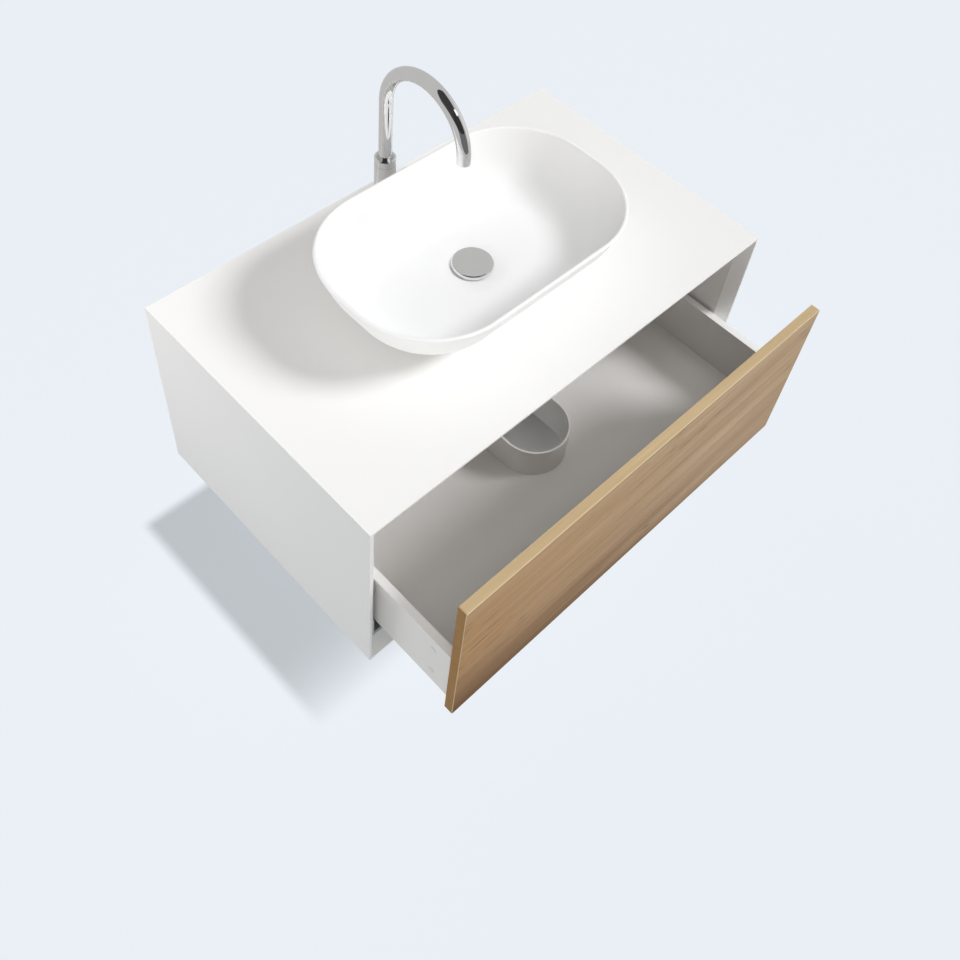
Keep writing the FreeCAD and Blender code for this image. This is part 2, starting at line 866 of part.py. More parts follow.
def drawer_side(side, sign):
    name = f"{side}_side_board"
    low_x = along_x(sign, side_inner, side_outer)
    high_x = low_x + d.side_thickness
    board = box(name, (low_x, front_back_y, side_low), (high_x, drawer_end_y, side_high))
    groove_x = along_x(sign, side_inner - d.overrun, side_inner + d.groove_depth)
    groove_low = (groove_x, front_back_y - d.overrun, bottom_low)
    groove_high = (groove_x + d.groove_depth + d.overrun, drawer_end_y + d.overrun, bottom_high)
    tools = [box(f"{name}_groove", groove_low, groove_high)]
    cam_x = along_x(sign, side_outer - d.cam_depth, side_outer + d.overrun)
    for number, z in enumerate(cam_zs):
        at = (cam_x, cam_y, z)
        tools.append(rod(f"{name}_cam_hole_{number}", cam_hole, d.cam_depth + d.overrun, at, ALONG_X))
        at = (cam_bolt_x * sign, front_back_y - d.overrun, z)
        length = d.cam_setback + d.overrun
        tools.append(rod(f"{name}_bolt_hole_{number}", cam_bolt_hole, length, at, ALONG_Y))
    for number, z in enumerate(back_screw_zs):
        at = (along_x(sign, side_inner - d.overrun, side_outer + d.overrun), back_screw_y, z)
        length = d.side_thickness + d.overrun * 2
        tools.append(rod(f"{name}_screw_hole_{number}", back_screw_hole, length, at, ALONG_X))
        at = (along_x(sign, back_screw_seat, side_outer + d.overrun), back_screw_y, z)
        length = d.back_screw_head_height + d.overrun
        tools.append(rod(f"{name}_head_hole_{number}", back_head_hole, length, at, ALONG_X))
    return cut(f"{name}_cut", board, tools)


def drawer_back(side, sign):
    name = f"{side}_back_board"
    near = d.recess_radius + d.recess_fit
    low_x = along_x(sign, near, side_inner)
    high_x = low_x + side_inner - near
    board = box(name, (low_x, back_low_y, bottom_high), (high_x, drawer_end_y, side_high))
    hole_x = along_x(sign, back_screw_end, side_inner + d.overrun)
    length = side_inner + d.overrun - back_screw_end
    holes = [
        rod(f"{name}_hole_{number}", back_screw_hole, length, (hole_x, back_screw_y, z), ALONG_X)
        for number, z in enumerate(back_screw_zs)
    ]
    return cut(f"{name}_drilled", board, holes)


cams = []
cam_bolts = []
back_screws = []
for side, sign in SIDES:
    node(drawer_side(side, sign), f"drawer_side_{side}")
    node(drawer_back(side, sign), f"drawer_back_{side}")
    for number, z in enumerate(cam_zs):
        at = (along_x(sign, side_outer - d.cam_depth, side_outer), cam_y, z)
        cams.append(rod(f"cam_{side}_{number}", d.cam_diameter, d.cam_depth, at, ALONG_X))
        at = (cam_bolt_x * sign, cam_bolt_y, z)
        cam_bolts.append(rod(f"cam_bolt_{side}_{number}", d.cam_bolt_diameter, cam_bolt_length, at, ALONG_Y))
    for number, z in enumerate(back_screw_zs):
        name = f"back_screw_{side}_{number}"
        at = (along_x(sign, back_screw_end, side_outer), back_screw_y, z)
        shank = rod(f"{name}_shank", d.back_screw_diameter, d.back_screw_length, at, ALONG_X)
        at = (along_x(sign, back_screw_seat, side_outer), back_screw_y, z)
        head = rod(f"{name}_head", d.back_screw_head_diameter, d.back_screw_head_height, at, ALONG_X)
        back_screws.append(fuse(name, [shank, head]))
node(group("cam_group", cams), "drawer_cam_locks")
node(group("cam_bolt_group", cam_bolts), "drawer_cam_bolts")
node(group("back_screw_group", back_screws), "drawer_back_screws")

# Drawer bottom: a board that slides into the sides' grooves, with a U notch from the back for the trap.
bottom_half = side_inner + d.groove_depth - d.groove_fit
notch_half = d.recess_radius + d.recess_fit
bottom_corners = [
    (-bottom_half, front_back_y),
    (bottom_half, front_back_y),
    (bottom_half, drawer_end_y),
    (notch_half, drawer_end_y),
    (notch_half, recess_y, ("smooth",)),
    (-notch_half, recess_y),
    (-notch_half, drawer_end_y),
    (-bottom_half, drawer_end_y),
]
node(prism("notched_bottom", "XY_Plane", [bottom_corners], d.bottom_thickness, bottom_low), "drawer_bottom")

# Recess wall: a thin strip bent to a U that lines the notch and keeps things away from the trap.
recess_inner = d.recess_radius - d.recess_wall
strip_corners = [
    (d.recess_radius, drawer_end_y),
    (d.recess_radius, recess_y, ("smooth",)),
    (-d.recess_radius, recess_y),
    (-d.recess_radius, drawer_end_y),
    (-recess_inner, drawer_end_y),
    (-recess_inner, recess_y, ("smooth",)),
    (recess_inner, recess_y),
    (recess_inner, drawer_end_y),
]
strip_height = d.bottom_thickness + d.recess_rise
node(prism("recess_strip", "XY_Plane", [strip_corners], strip_height, bottom_low), "trap_recess_wall")


# Basin: a thin-rimmed vessel. One wall section runs round a rounded rectangle, and a slab closes the floor.
def basin_outline(inset):
    """The basin's rounded rectangle, drawn in by an inset, from the middle of its +X end."""
    half_long = d.basin_length / 2 - inset
    half_wide = d.basin_width / 2 - inset
    corner = ("left", d.basin_corner - inset)
    flat_long = d.basin_length / 2 - d.basin_corner
    flat_wide = d.basin_width / 2 - d.basin_corner
    return [
        (half_long, 0),
        (half_long, flat_wide, corner),
        (flat_long, half_wide),
        (-flat_long, half_wide, corner),
        (-half_long, flat_wide),
        (-half_long, -flat_wide, corner),
        (-flat_long, -half_wide),
        (flat_long, -half_wide, corner),
        (half_long, -flat_wide),
    ]


basin_z = top_z + d.sealant_thickness
basin_half = d.basin_length / 2
rim_z = d.basin_height - d.rim_drop
shoulder_z = d.basin_height - d.upper_wall_drop
ring_end = d.bowl_floor_inset + d.ring_overlap

basin = new_body("basin_bowl")
rim_path = sketch_on(basin, "rim_path", "XY_Plane")
outline(rim_path, basin_outline(0))
wall_section = sketch_on(basin, "wall_section", "XZ_Plane")
wall_corners = [
    (basin_half, rim_z),
    (basin_half - d.upper_wall_inset, shoulder_z, ("smooth",)),
    (basin_half - d.foot_inset, 0),
    (basin_half - ring_end, 0),
    (basin_half - ring_end, d.floor_thickness),
    (basin_half - d.bowl_floor_inset, d.floor_thickness, ("lead",)),
    (basin_half - d.upper_wall_inset - d.wall_thickness, shoulder_z),
    (basin_half - d.rim_width, rim_z, ("right", d.rim_radius)),
]
outline(wall_section, wall_corners)
sweep(basin, wall_section, rim_path)
floor_outline = sketch_on(basin, "floor_outline", "XY_Plane")
outline(floor_outline, basin_outline(d.bowl_floor_inset + d.ring_overlap / 2))
pad(basin, floor_outline, d.floor_thickness)
dish_profile = sketch_on(basin, "dish_profile", "XZ_Plane")
dish_corners = [
    (0, d.floor_thickness),
    (0, d.floor_thickness - d.drain_seat_depth),
    (d.drain_seat_diameter / 2, d.floor_thickness - d.drain_seat_depth),
    (d.drain_dish_diameter / 2, d.floor_thickness),
]
outline(dish_profile, dish_corners)
spin(basin, "Groove", dish_profile)
drain_outline = sketch_on(basin, "drain_outline", "XY_Plane")
ring(drain_outline, 0, 0, d.basin_hole_diameter)
pocket_through(basin, drain_outline)
node(place(basin, (0, bowl_y, basin_z)), "basin")

# Sealant: a thin bead under the basin's foot that holds it on the counter.
bead_start = d.foot_inset + d.sealant_setback
bead_outlines = [basin_outline(bead_start), basin_outline(bead_start + d.sealant_width)]
bead = prism("bead", "XY_Plane", bead_outlines, d.sealant_thickness)
node(place(bead, (0, bowl_y, top_z)), "basin_sealant")

# Waste: a flanged chrome tube clamped through basin and counter, with a pop-up cap on a guided plunger.
seat_z = basin_z + d.floor_thickness - d.drain_seat_depth
flange_z = seat_z + d.flange_seal_thickness
flange_top_z = flange_z + d.flange_thickness
waste_bore = d.waste_diameter - d.waste_wall * 2
waste_fit = d.waste_diameter + d.thread_fit * 2
ledge_z = -d.waste_ledge_depth
seat_at = (0, bowl_y, seat_z)
node(tube("waste_seal", waste_fit, d.flange_seal_diameter, d.flange_seal_thickness, seat_at), "flange_seal")
waste_corners = [
    (waste_bore / 2, -d.waste_length),
    (d.waste_diameter / 2, -d.waste_length),
    (d.waste_diameter / 2, 0),
    (d.flange_diameter / 2, 0),
    (d.flange_diameter / 2, d.flange_thickness),
    (waste_bore / 2, d.flange_thickness),
    (waste_bore / 2, ledge_z),
    (waste_bore / 2 - d.waste_ledge, ledge_z),
    (waste_bore / 2 - d.waste_ledge, ledge_z - d.waste_ledge),
    (waste_bore / 2, ledge_z - d.waste_ledge),
]
node(turned("waste_tube", waste_corners, (0, bowl_y, flange_z)), "waste_body")

guide_z = flange_z - d.waste_ledge_depth
guide_at = (0, bowl_y, guide_z)
guide_diameter = waste_bore - d.thread_fit * 2
guide_bore = d.plunger_diameter + d.slide_fit * 2
guide_ring = tube("guide_ring", guide_diameter - d.guide_wall * 2, guide_diameter, d.guide_height, guide_at)
guide_hub = rod("guide_hub", d.guide_hub_diameter, d.guide_height, guide_at)
arm_reach = (guide_diameter - d.guide_wall) / 2
arm_corners = [
    (0, -d.guide_arm / 2),
    (arm_reach, -d.guide_arm / 2),
    (arm_reach, d.guide_arm / 2),
    (0, d.guide_arm / 2),
]
guide_arms = []
for turn in GUIDE_ARM_TURNS:
    arm = prism(f"guide_arm_{turn}", "XY_Plane", [arm_corners], d.guide_height)
    guide_arms.append(place(arm, guide_at, FreeCAD.Rotation(FreeCAD.Vector(0, 0, 1), turn)))
guide = fuse("guide_spider", [guide_ring, guide_hub, *guide_arms])
guide_hole = rod("guide_hole", guide_bore, d.guide_height + d.overrun * 2, (0, bowl_y, guide_z - d.overrun))
node(cut("guide_bored", guide, [guide_hole]), "plunger_guide")

cap_z = flange_top_z + d.cap_gap
cap_half = d.cap_diameter / 2
crown_half = cap_half - d.cap_edge_radius
crown_radius = (crown_half * crown_half + d.cap_crown * d.cap_crown) / (d.cap_crown * 2)
crown_low = d.cap_thickness - d.cap_crown
cap_corners = [
    (0, d.cap_hollow),
    (d.plunger_diameter / 2, d.cap_hollow),
    (d.plunger_diameter / 2, 0),
    (d.cap_boss_diameter / 2, 0),
    (d.cap_boss_diameter / 2, d.cap_hollow),
    (cap_half - d.cap_rim, d.cap_hollow),
    (cap_half - d.cap_rim, 0),
    (cap_half, 0),
    (cap_half, crown_low - d.cap_edge_radius, ("left", d.cap_edge_radius)),
    (crown_half, crown_low, ("left", crown_radius)),
    (0, d.cap_thickness),
]
node(turned("pop_up_cap", cap_corners, (0, bowl_y, cap_z)), "waste_cap")
plunger_z = cap_z + d.cap_hollow - d.plunger_length
node(rod("plunger_rod", d.plunger_diameter, d.plunger_length, (0, bowl_y, plunger_z)), "waste_plunger")

washer_z = ceiling_z - d.waste_washer_thickness
washer_at = (0, bowl_y, washer_z)
waste_washer = tube("waste_ring", waste_fit, d.waste_washer_diameter, d.waste_washer_thickness, washer_at)
node(waste_washer, "waste_washer")
nut_at = (0, bowl_y, washer_z - d.waste_nut_height)
node(hex_nut("waste_locknut", d.waste_nut_across, d.waste_nut_height, waste_fit, nut_at), "waste_nut")

# Bottle trap: a coupling under the waste, a dip tube, a head with a side outlet, and a cup screwed on below.
waste_end_z = flange_z - d.waste_length
inlet_top_z = waste_end_z - d.coupling_washer_thickness
inlet_at = (0, bowl_y, inlet_top_z)
inlet_bore = d.inlet_diameter - d.inlet_wall * 2
inlet_fit = d.inlet_diameter + d.thread_fit * 2
outlet_z = top_z - d.outlet_drop
head_low_z = outlet_z - d.head_below_outlet
head_high_z = outlet_z + d.head_above_outlet
head_height = d.head_above_outlet + d.head_below_outlet
head_bore = d.head_diameter - d.head_wall * 2

inlet_washer = tube("inlet_ring", inlet_bore, d.waste_diameter, d.coupling_washer_thickness, inlet_at)
node(inlet_washer, "coupling_washer")
inlet_corners = [
    (inlet_bore / 2, -d.inlet_length),
    (d.inlet_diameter / 2, -d.inlet_length),
    (d.inlet_diameter / 2, -d.inlet_flange_thickness),
    (d.waste_diameter / 2, -d.inlet_flange_thickness),
    (d.waste_diameter / 2, 0),
    (inlet_bore / 2, 0),
]
node(turned("dip_tube", inlet_corners, inlet_at), "trap_inlet_tube")
coupling_z = inlet_top_z - d.inlet_flange_thickness - d.coupling_lip
coupling_corners = [
    (inlet_fit / 2, 0),
    (d.coupling_diameter / 2, 0),
    (d.coupling_diameter / 2, d.coupling_height),
    (waste_fit / 2, d.coupling_height),
    (waste_fit / 2, d.coupling_lip),
    (inlet_fit / 2, d.coupling_lip),
]
node(turned("coupling", coupling_corners, (0, bowl_y, coupling_z)), "coupling_nut")

head_corners = [
    (head_bore / 2, 0),
    (d.head_diameter / 2, 0),
    (d.head_diameter / 2, head_height),
    (inlet_fit / 2, head_height),
    (inlet_fit / 2, head_height - d.head_wall),
    (head_bore / 2, head_height - d.head_wall),
]
head_shell = turned("head_shell", head_corners, (0, bowl_y, head_low_z))
outlet_fit = d.outlet_diameter + d.thread_fit * 2
outlet_bore = d.outlet_diameter - d.outlet_wall * 2
stub_diameter = outlet_fit + d.stub_wall * 2
stub_root_y = bowl_y + head_bore / 2
stub_end_y = bowl_y + d.stub_reach
outlet_y = bowl_y + d.outlet_start
outlet_at = (0, outlet_y, outlet_z)
stub = rod("head_stub", stub_diameter, stub_end_y - stub_root_y, (0, stub_root_y, outlet_z), ALONG_Y)
head_cuts = [
    rod("head_inside", head_bore, head_height - d.head_wall, (0, bowl_y, head_low_z)),
    rod("stub_way", outlet_bore, d.stub_reach, (0, bowl_y, outlet_z), ALONG_Y),
    rod("stub_socket", outlet_fit, stub_end_y - outlet_y + d.overrun, outlet_at, ALONG_Y),
]
node(cut("head_bored", fuse("head_with_stub", [head_shell, stub]), head_cuts), "trap_head")
nut_at = (0, bowl_y, head_high_z)
inlet_nut = tube("inlet_locknut", inlet_fit, d.inlet_nut_diameter, d.inlet_nut_height, nut_at)
node(inlet_nut, "trap_inlet_nut")

cup_half = d.cup_diameter / 2
cup_inner = cup_half - d.cup_wall
collar_bore = d.head_diameter + d.thread_fit * 2
cup_corners = [
    (0, 0),
    (cup_half - d.cup_round, 0, ("left", d.cup_round)),
    (cup_half, d.cup_round),
    (cup_half, d.cup_depth - d.cup_collar_drop),
    (d.cup_collar_diameter / 2, d.cup_depth - d.cup_collar_drop),
    (d.cup_collar_diameter / 2, d.cup_depth + d.cup_collar_rise),
    (collar_bore / 2, d.cup_depth + d.cup_collar_rise),
    (collar_bore / 2, d.cup_depth),
    (cup_inner, d.cup_depth),
    (cup_inner, d.cup_round, ("right", d.cup_round - d.cup_wall)),
    (cup_half - d.cup_round, d.cup_wall),
    (0, d.cup_wall),
]
node(turned("cup_shell", cup_corners, (0, bowl_y, head_low_z - d.cup_depth)), "trap_cup")

# The outlet pipe has a rolled bead behind the wall flange, which stops it in the drain's socket.
pipe_half = d.outlet_diameter / 2
pipe_length = d.outlet_reach - outlet_y
pipe_corners = [
    (outlet_bore / 2, 0),
    (pipe_half, 0),
    (pipe_half, -outlet_y),
    (d.outlet_bead_diameter / 2, d.outlet_bead_length / 2 - outlet_y),
    (pipe_half, d.outlet_bead_length - outlet_y),
    (pipe_half, pipe_length),
    (outlet_bore / 2, pipe_length),
]
node(turned("waste_pipe", pipe_corners, outlet_at, ALONG_Y), "outlet_pipe")
stub_fit = stub_diameter + d.thread_fit * 2
outlet_nut_corners = [
    (stub_fit / 2, 0),
    (d.outlet_nut_diameter / 2, 0),
    (d.outlet_nut_diameter / 2, d.outlet_nut_length),
    (outlet_fit / 2, d.outlet_nut_length),
    (outlet_fit / 2, d.outlet_nut_length - d.outlet_nut_lip),
    (stub_fit / 2, d.outlet_nut_length - d.outlet_nut_lip),
]
outlet_nut_y = stub_end_y + d.outlet_nut_lip - d.outlet_nut_length
node(turned("outlet_locknut", outlet_nut_corners, (0, outlet_nut_y, outlet_z), ALONG_Y), "trap_outlet_nut")
flange_corners = [
    (outlet_fit / 2, -d.wall_flange_depth),
    (outlet_fit / 2 + d.wall_flange_neck, -d.wall_flange_depth),
    (d.wall_flange_diameter / 2, -d.wall_flange_lip),
    (d.wall_flange_diameter / 2, 0),
    (outlet_fit / 2, 0),
]
node(turned("wall_rosette", flange_corners, (0, 0, outlet_z), ALONG_Y), "wall_flange")

# Tap body: a brass casting with a foot, an upright barrel and a housing for the cartridge on its right.
foot_z = top_z + d.gasket_thickness
body_top_z = foot_z + d.tap_body_height
side_axis_z = foot_z + d.side_axis_height
shank_fit = d.shank_diameter + d.thread_fit * 2
shank_top_z = foot_z + d.shank_socket
spout_low_z = body_top_z - d.spout_root
spout_bore = d.spout_diameter + d.slide_fit * 2
node(tube("foot_gasket", shank_fit, d.gasket_diameter, d.gasket_thickness, (0, tap_y, top_z)), "tap_gasket")
foot_corners = [
    (0, 0),
    (d.tap_foot_diameter / 2, 0),
    (d.tap_foot_diameter / 2, d.tap_foot_height - d.tap_foot_break),
    (d.tap_foot_diameter / 2 - d.tap_foot_break, d.tap_foot_height),
    (d.tap_body_diameter / 2, d.tap_foot_height),
    (d.tap_body_diameter / 2, d.tap_body_height),
    (0, d.tap_body_height),
]
barrel = turned("tap_barrel", foot_corners, (0, tap_y, foot_z))
housing = rod("side_housing", d.side_housing_diameter, d.side_housing_reach, (0, tap_y, side_axis_z), ALONG_X)
cartridge_hole = d.cartridge_diameter + d.hole_fit * 2
cartridge_length = d.side_housing_reach - d.cartridge_start
cartridge_at = (d.cartridge_start, tap_y, side_axis_z)
waterway_length = spout_low_z - shank_top_z + d.overrun
tap_cuts = [
    rod("spout_socket", spout_bore, d.spout_root + d.overrun, (0, tap_y, spout_low_z)),
    rod("waterway", d.waterway_diameter, waterway_length, (0, tap_y, shank_top_z)),
    rod("shank_seat", d.shank_diameter, d.shank_socket + d.overrun, (0, tap_y, foot_z - d.overrun)),
    rod("cartridge_seat", cartridge_hole, cartridge_length + d.overrun, cartridge_at, ALONG_X),
]
node(cut("tap_bored", fuse("tap_casting", [barrel, housing]), tap_cuts), "tap_body")

# Tap fixing: a threaded shank through the counter with washers and a nut below, and two supply tails.
shank_bore = d.shank_diameter - d.shank_wall * 2
shank_at = (0, tap_y, shank_top_z - d.shank_length)
node(tube("threaded_shank", shank_bore, d.shank_diameter, d.shank_length, shank_at), "tap_shank")
rubber_z = ceiling_z - d.tap_rubber_thickness
steel_z = rubber_z - d.tap_washer_thickness
rubber_at = (0, tap_y, rubber_z)
steel_at = (0, tap_y, steel_z)
rubber = tube("rubber_ring", shank_fit, d.tap_washer_diameter, d.tap_rubber_thickness, rubber_at)
node(rubber, "tap_rubber_washer")
steel = tube("steel_ring", shank_fit, d.tap_washer_diameter, d.tap_washer_thickness, steel_at)
node(steel, "tap_steel_washer")
tap_nut_at = (0, tap_y, steel_z - d.tap_nut_height)
node(hex_nut("tap_locknut", d.tap_nut_across, d.tap_nut_height, shank_fit, tap_nut_at), "tap_nut")
tails = []
for side, sign in SIDES:
    at = (d.tail_spacing * sign / 2, tap_y, shank_top_z - d.tail_length)
    tails.append(tube(f"tail_{side}", d.tail_bore, d.tail_diameter, d.tail_length, at))
node(group("tail_pair", tails), "tap_inlet_tails")

# Spout: a chrome tube bent to a gooseneck that turns in the body, with a fixed collar and an aerator.
spout = new_body("gooseneck")
spout_path = sketch_on(spout, "spout_path", "YZ_Plane")
arc_start = top_z + d.spout_centre_height - spout_low_z
spout_span = d.spout_radius * 2
path_corners = [
    (0, 0),
    (0, arc_start, ("smooth",)),
    (-spout_span, arc_start),
    (-spout_span, arc_start - d.spout_tip),
]
outline(spout_path, path_corners, closed=False)
spout_section = sketch_on(spout, "spout_section", "XY_Plane")
spout_inside = d.spout_diameter - d.spout_wall * 2
ring(spout_section, 0, 0, d.spout_diameter)
ring(spout_section, 0, 0, spout_inside)
sweep(spout, spout_section, spout_path)
node(place(spout, (0, tap_y, spout_low_z)), "tap_spout")
collar_corners = [
    (d.spout_diameter / 2, 0),
    (d.tap_body_diameter / 2, 0),
    (d.tap_body_diameter / 2, d.collar_height - d.collar_break),
    (d.tap_body_diameter / 2 - d.collar_break, d.collar_height),
    (d.spout_diameter / 2 + d.collar_sink, d.collar_height),
    (d.spout_diameter / 2, d.collar_height - d.collar_sink),
]
node(turned("collar_ring", collar_corners, (0, tap_y, body_top_z + d.collar_gap)), "spout_collar")
aerator_z = spout_low_z + arc_start - d.spout_tip + d.aerator_setback
aerator_at = (0, tap_y - spout_span, aerator_z)
node(tube("flow_ring", d.aerator_bore, spout_inside, d.aerator_length, aerator_at), "spout_aerator")

# Side lever: a cartridge in the housing, its stem, a cap that turns with the stem, and a lever that tilts.
stem_hole = d.stem_diameter + d.slide_fit * 2
stem_at = (d.stem_start, tap_y, side_axis_z)
cartridge = rod("cartridge_barrel", d.cartridge_diameter, cartridge_length, cartridge_at, ALONG_X)
stem_seat = rod("stem_seat", stem_hole, d.side_housing_reach, stem_at, ALONG_X)
node(cut("cartridge_bored", cartridge, [stem_seat]), "tap_cartridge")
cap_x = d.side_housing_reach + d.lever_cap_gap
stem_length = cap_x + d.stem_socket - d.stem_start
node(rod("stem_rod", d.stem_diameter, stem_length, stem_at, ALONG_X), "cartridge_stem")

pivot_x = cap_x + d.lever_pivot
pivot_at = (pivot_x, tap_y, side_axis_z)
cap_at = (cap_x, tap_y, side_axis_z)
lever_cap_corners = [
    (0, 0),
    (d.lever_cap_diameter / 2, 0),
    (d.lever_cap_diameter / 2, d.lever_cap_length - d.lever_cap_break),
    (d.lever_cap_diameter / 2 - d.lever_cap_break, d.lever_cap_length),
    (0, d.lever_cap_length),
]
lever_cap = turned("lever_cap_solid", lever_cap_corners, cap_at, ALONG_X)
slot_half = d.lever_diameter / 2 + d.lever_slot_fit
slot_end_x = cap_x + d.lever_cap_length + d.overrun
slot_low = (pivot_x - d.lever_slot_start, tap_y - slot_half, side_axis_z - d.lever_slot_drop)
slot_high = (slot_end_x, tap_y + slot_half, side_axis_z + d.lever_slot_rise)
pin_hole_at = (pivot_x, tap_y - d.lever_cap_diameter / 2, side_axis_z)
lever_cap_cuts = [
    rod("stem_socket", d.stem_diameter, d.stem_socket, cap_at, ALONG_X),
    box("lever_slot", slot_low, slot_high),
    rod("cap_pin_hole", d.lever_pin_diameter, d.lever_cap_diameter, pin_hole_at, ALONG_Y),
]
node(cut("lever_cap_cut", lever_cap, lever_cap_cuts), "lever_cap")
pin_at = (pivot_x, tap_y - d.lever_pin_length / 2, side_axis_z)
node(rod("pivot_pin", d.lever_pin_diameter, d.lever_pin_length, pin_at, ALONG_Y), "lever_pivot_pin")
lever_corners = [
    (0, -d.lever_heel),
    (d.lever_diameter / 2, -d.lever_heel),
    (d.lever_diameter / 2, d.lever_reach - d.lever_tip_break),
    (d.lever_diameter / 2 - d.lever_tip_break, d.lever_reach),
    (0, d.lever_reach),
]
lever_rod = turned("lever_rod", lever_corners, pivot_at, ALONG_X)
lever_bore = d.lever_pin_diameter + d.slide_fit * 2
lever_hole_at = (pivot_x, tap_y - d.lever_diameter, side_axis_z)
lever_hole = rod("lever_hole", lever_bore, d.lever_diameter * 2, lever_hole_at, ALONG_Y)
node(cut("lever_bored", lever_rod, [lever_hole]), "tap_lever")

# Check every object, then write one file for each piece.
doc.recompute()
for item in doc.Objects:
    if "Invalid" in item.State or "Error" in item.State:
        raise RuntimeError(f"{item.Name} did not build: {item.State}")
for item in NODES:
    if item.Shape.isNull() or not item.Shape.isValid():
        raise RuntimeError(f"{item.Label} has no valid shape")
os.makedirs("parts", exist_ok=True)
for item in NODES:
    item.Shape.exportStep(f"parts/{item.Label}.step")
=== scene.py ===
import math

import bmesh
import bpy
from mathutils import Matrix, Vector


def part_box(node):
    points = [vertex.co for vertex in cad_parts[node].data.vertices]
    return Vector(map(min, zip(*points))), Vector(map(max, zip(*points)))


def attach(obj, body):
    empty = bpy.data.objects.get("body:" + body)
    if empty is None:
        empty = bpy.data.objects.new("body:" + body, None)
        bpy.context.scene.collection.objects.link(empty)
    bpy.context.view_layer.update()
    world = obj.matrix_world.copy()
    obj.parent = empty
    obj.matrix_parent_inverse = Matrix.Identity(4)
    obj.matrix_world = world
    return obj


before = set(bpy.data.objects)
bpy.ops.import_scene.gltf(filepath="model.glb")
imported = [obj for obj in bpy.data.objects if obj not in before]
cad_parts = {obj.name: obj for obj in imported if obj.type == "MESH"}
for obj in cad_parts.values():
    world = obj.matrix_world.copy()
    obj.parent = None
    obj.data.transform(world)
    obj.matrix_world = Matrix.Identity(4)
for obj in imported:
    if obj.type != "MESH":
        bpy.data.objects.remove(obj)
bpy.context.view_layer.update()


# Cabinet box: four 22 mm boards mitred at the corners, sprayed with matt white lacquer after gluing.
# The spray leaves a faint orange peel and slightly uneven gloss, and the box carries everything else.
class Value:
    """A shader socket that takes part in Python arithmetic."""

    def __init__(self, nodes, socket):
        self.nodes = nodes
        self.socket = socket

    def maths(self, operation, *terms):
        return self.nodes.add("Math", {"operation": operation}, dict(enumerate(terms)))

    def __add__(self, other):
        return self.maths("ADD", self, other)

    def __radd__(self, other):
        return self.maths("ADD", other, self)

    def __sub__(self, other):
        return self.maths("SUBTRACT", self, other)

    def __rsub__(self, other):
        return self.maths("SUBTRACT", other, self)

    def __mul__(self, other):
        return self.maths("MULTIPLY", self, other)

    def __rmul__(self, other):
        return self.maths("MULTIPLY", other, self)

    def __abs__(self):
        return self.maths("ABSOLUTE", self)

    def __lt__(self, other):
        return self.maths("LESS_THAN", self, other)

    def __gt__(self, other):
        return self.maths("GREATER_THAN", self, other)


class Nodes:
    """A node tree: one method adds every node, and another feeds the tree's last node."""

    def __init__(self, tree, last):
        self.tree = tree
        self.last = tree.nodes[last]

    def add(self, kind, settings=None, sockets=None, out=0):
        """An output of a new node: its type, its settings, then the values or links of its sockets."""
        node = self.tree.nodes.new(f"ShaderNode{kind}")
        for name, setting in (settings or {}).items():
            if name == "stops":
                stops = node.color_ramp.elements
                while len(stops) < len(setting):
                    stops.new(1)
                for stop, (position, tone) in zip(stops, setting):
                    stop.position = position
                    stop.color = (tone, tone, tone, 1)
            else:
                setattr(node, name, setting)
        for name, value in (sockets or {}).items():
            if isinstance(value, Value):
                self.tree.links.new(value.socket, node.inputs[name])
            else:
                node.inputs[name].default_value = value
        return Value(self, node.outputs[out])

    def fade(self, value, start, end, low=0.0, high=1.0):
        """A value's way from start to end, as a number from low to high."""
        limits = {"From Min": start, "From Max": end, "To Min": low, "To Max": high}
        return self.add("MapRange", {}, {"Value": value, **limits})

    def feed(self, sockets):
        for name, value in sockets.items():
            self.tree.links.new(value.socket, self.last.inputs[name])


class Finish(Nodes):
    """A procedural finish: a material whose shader sockets are fed from nodes."""

    def __init__(self, name, constants=None):
        self.material = bpy.data.materials.new(name)
        self.material.use_nodes = True
        super().__init__(self.material.node_tree, "Principled BSDF")
        for socket, number in (constants or {}).items():
            self.last.inputs[socket].default_value = number
        self.place = self.add("TexCoord", out="Object")

    def along(self, axis, vector=None):
        """How far a point of the surface lies along an axis, or that part of another vector."""
        return self.add("SeparateXYZ", {}, {"Vector": vector or self.place}, axis)

    def grain(self, scale, detail, stretch=None):
        """Noise of a scale, finer along the axes that a stretch makes longer."""
        place = self.place
        if stretch:
            place = self.add("VectorMath", {"operation": "MULTIPLY"}, {0: place, 1: stretch})
        return self.add("TexNoise", {}, {"Vector": place, "Scale": scale, "Detail": detail})

    def ramp(self, value, *stops):
        """A value sharpened by the stops of a ramp, each a position and a tone."""
        return self.add("ValToRGB", {"stops": stops}, {0: value})

    def blend(self, share, first, second):
        """A colour between two, by the share of the second."""
        colours = [end if isinstance(end, Value) else (*end, 1) for end in (first, second)]
        first_colour, second_colour, colour_out = 6, 7, 2
        sockets = {0: share, first_colour: colours[0], second_colour: colours[1]}
        return self.add("Mix", {"data_type": "RGBA"}, sockets, colour_out)

    def relief(self, height, depth):
        return self.add("Bump", {}, {"Strength": 1.0, "Distance": depth, "Height": height})

    def coat(self, *names):
        for name in names:
            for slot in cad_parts[name].material_slots:
                slot.material = self.material


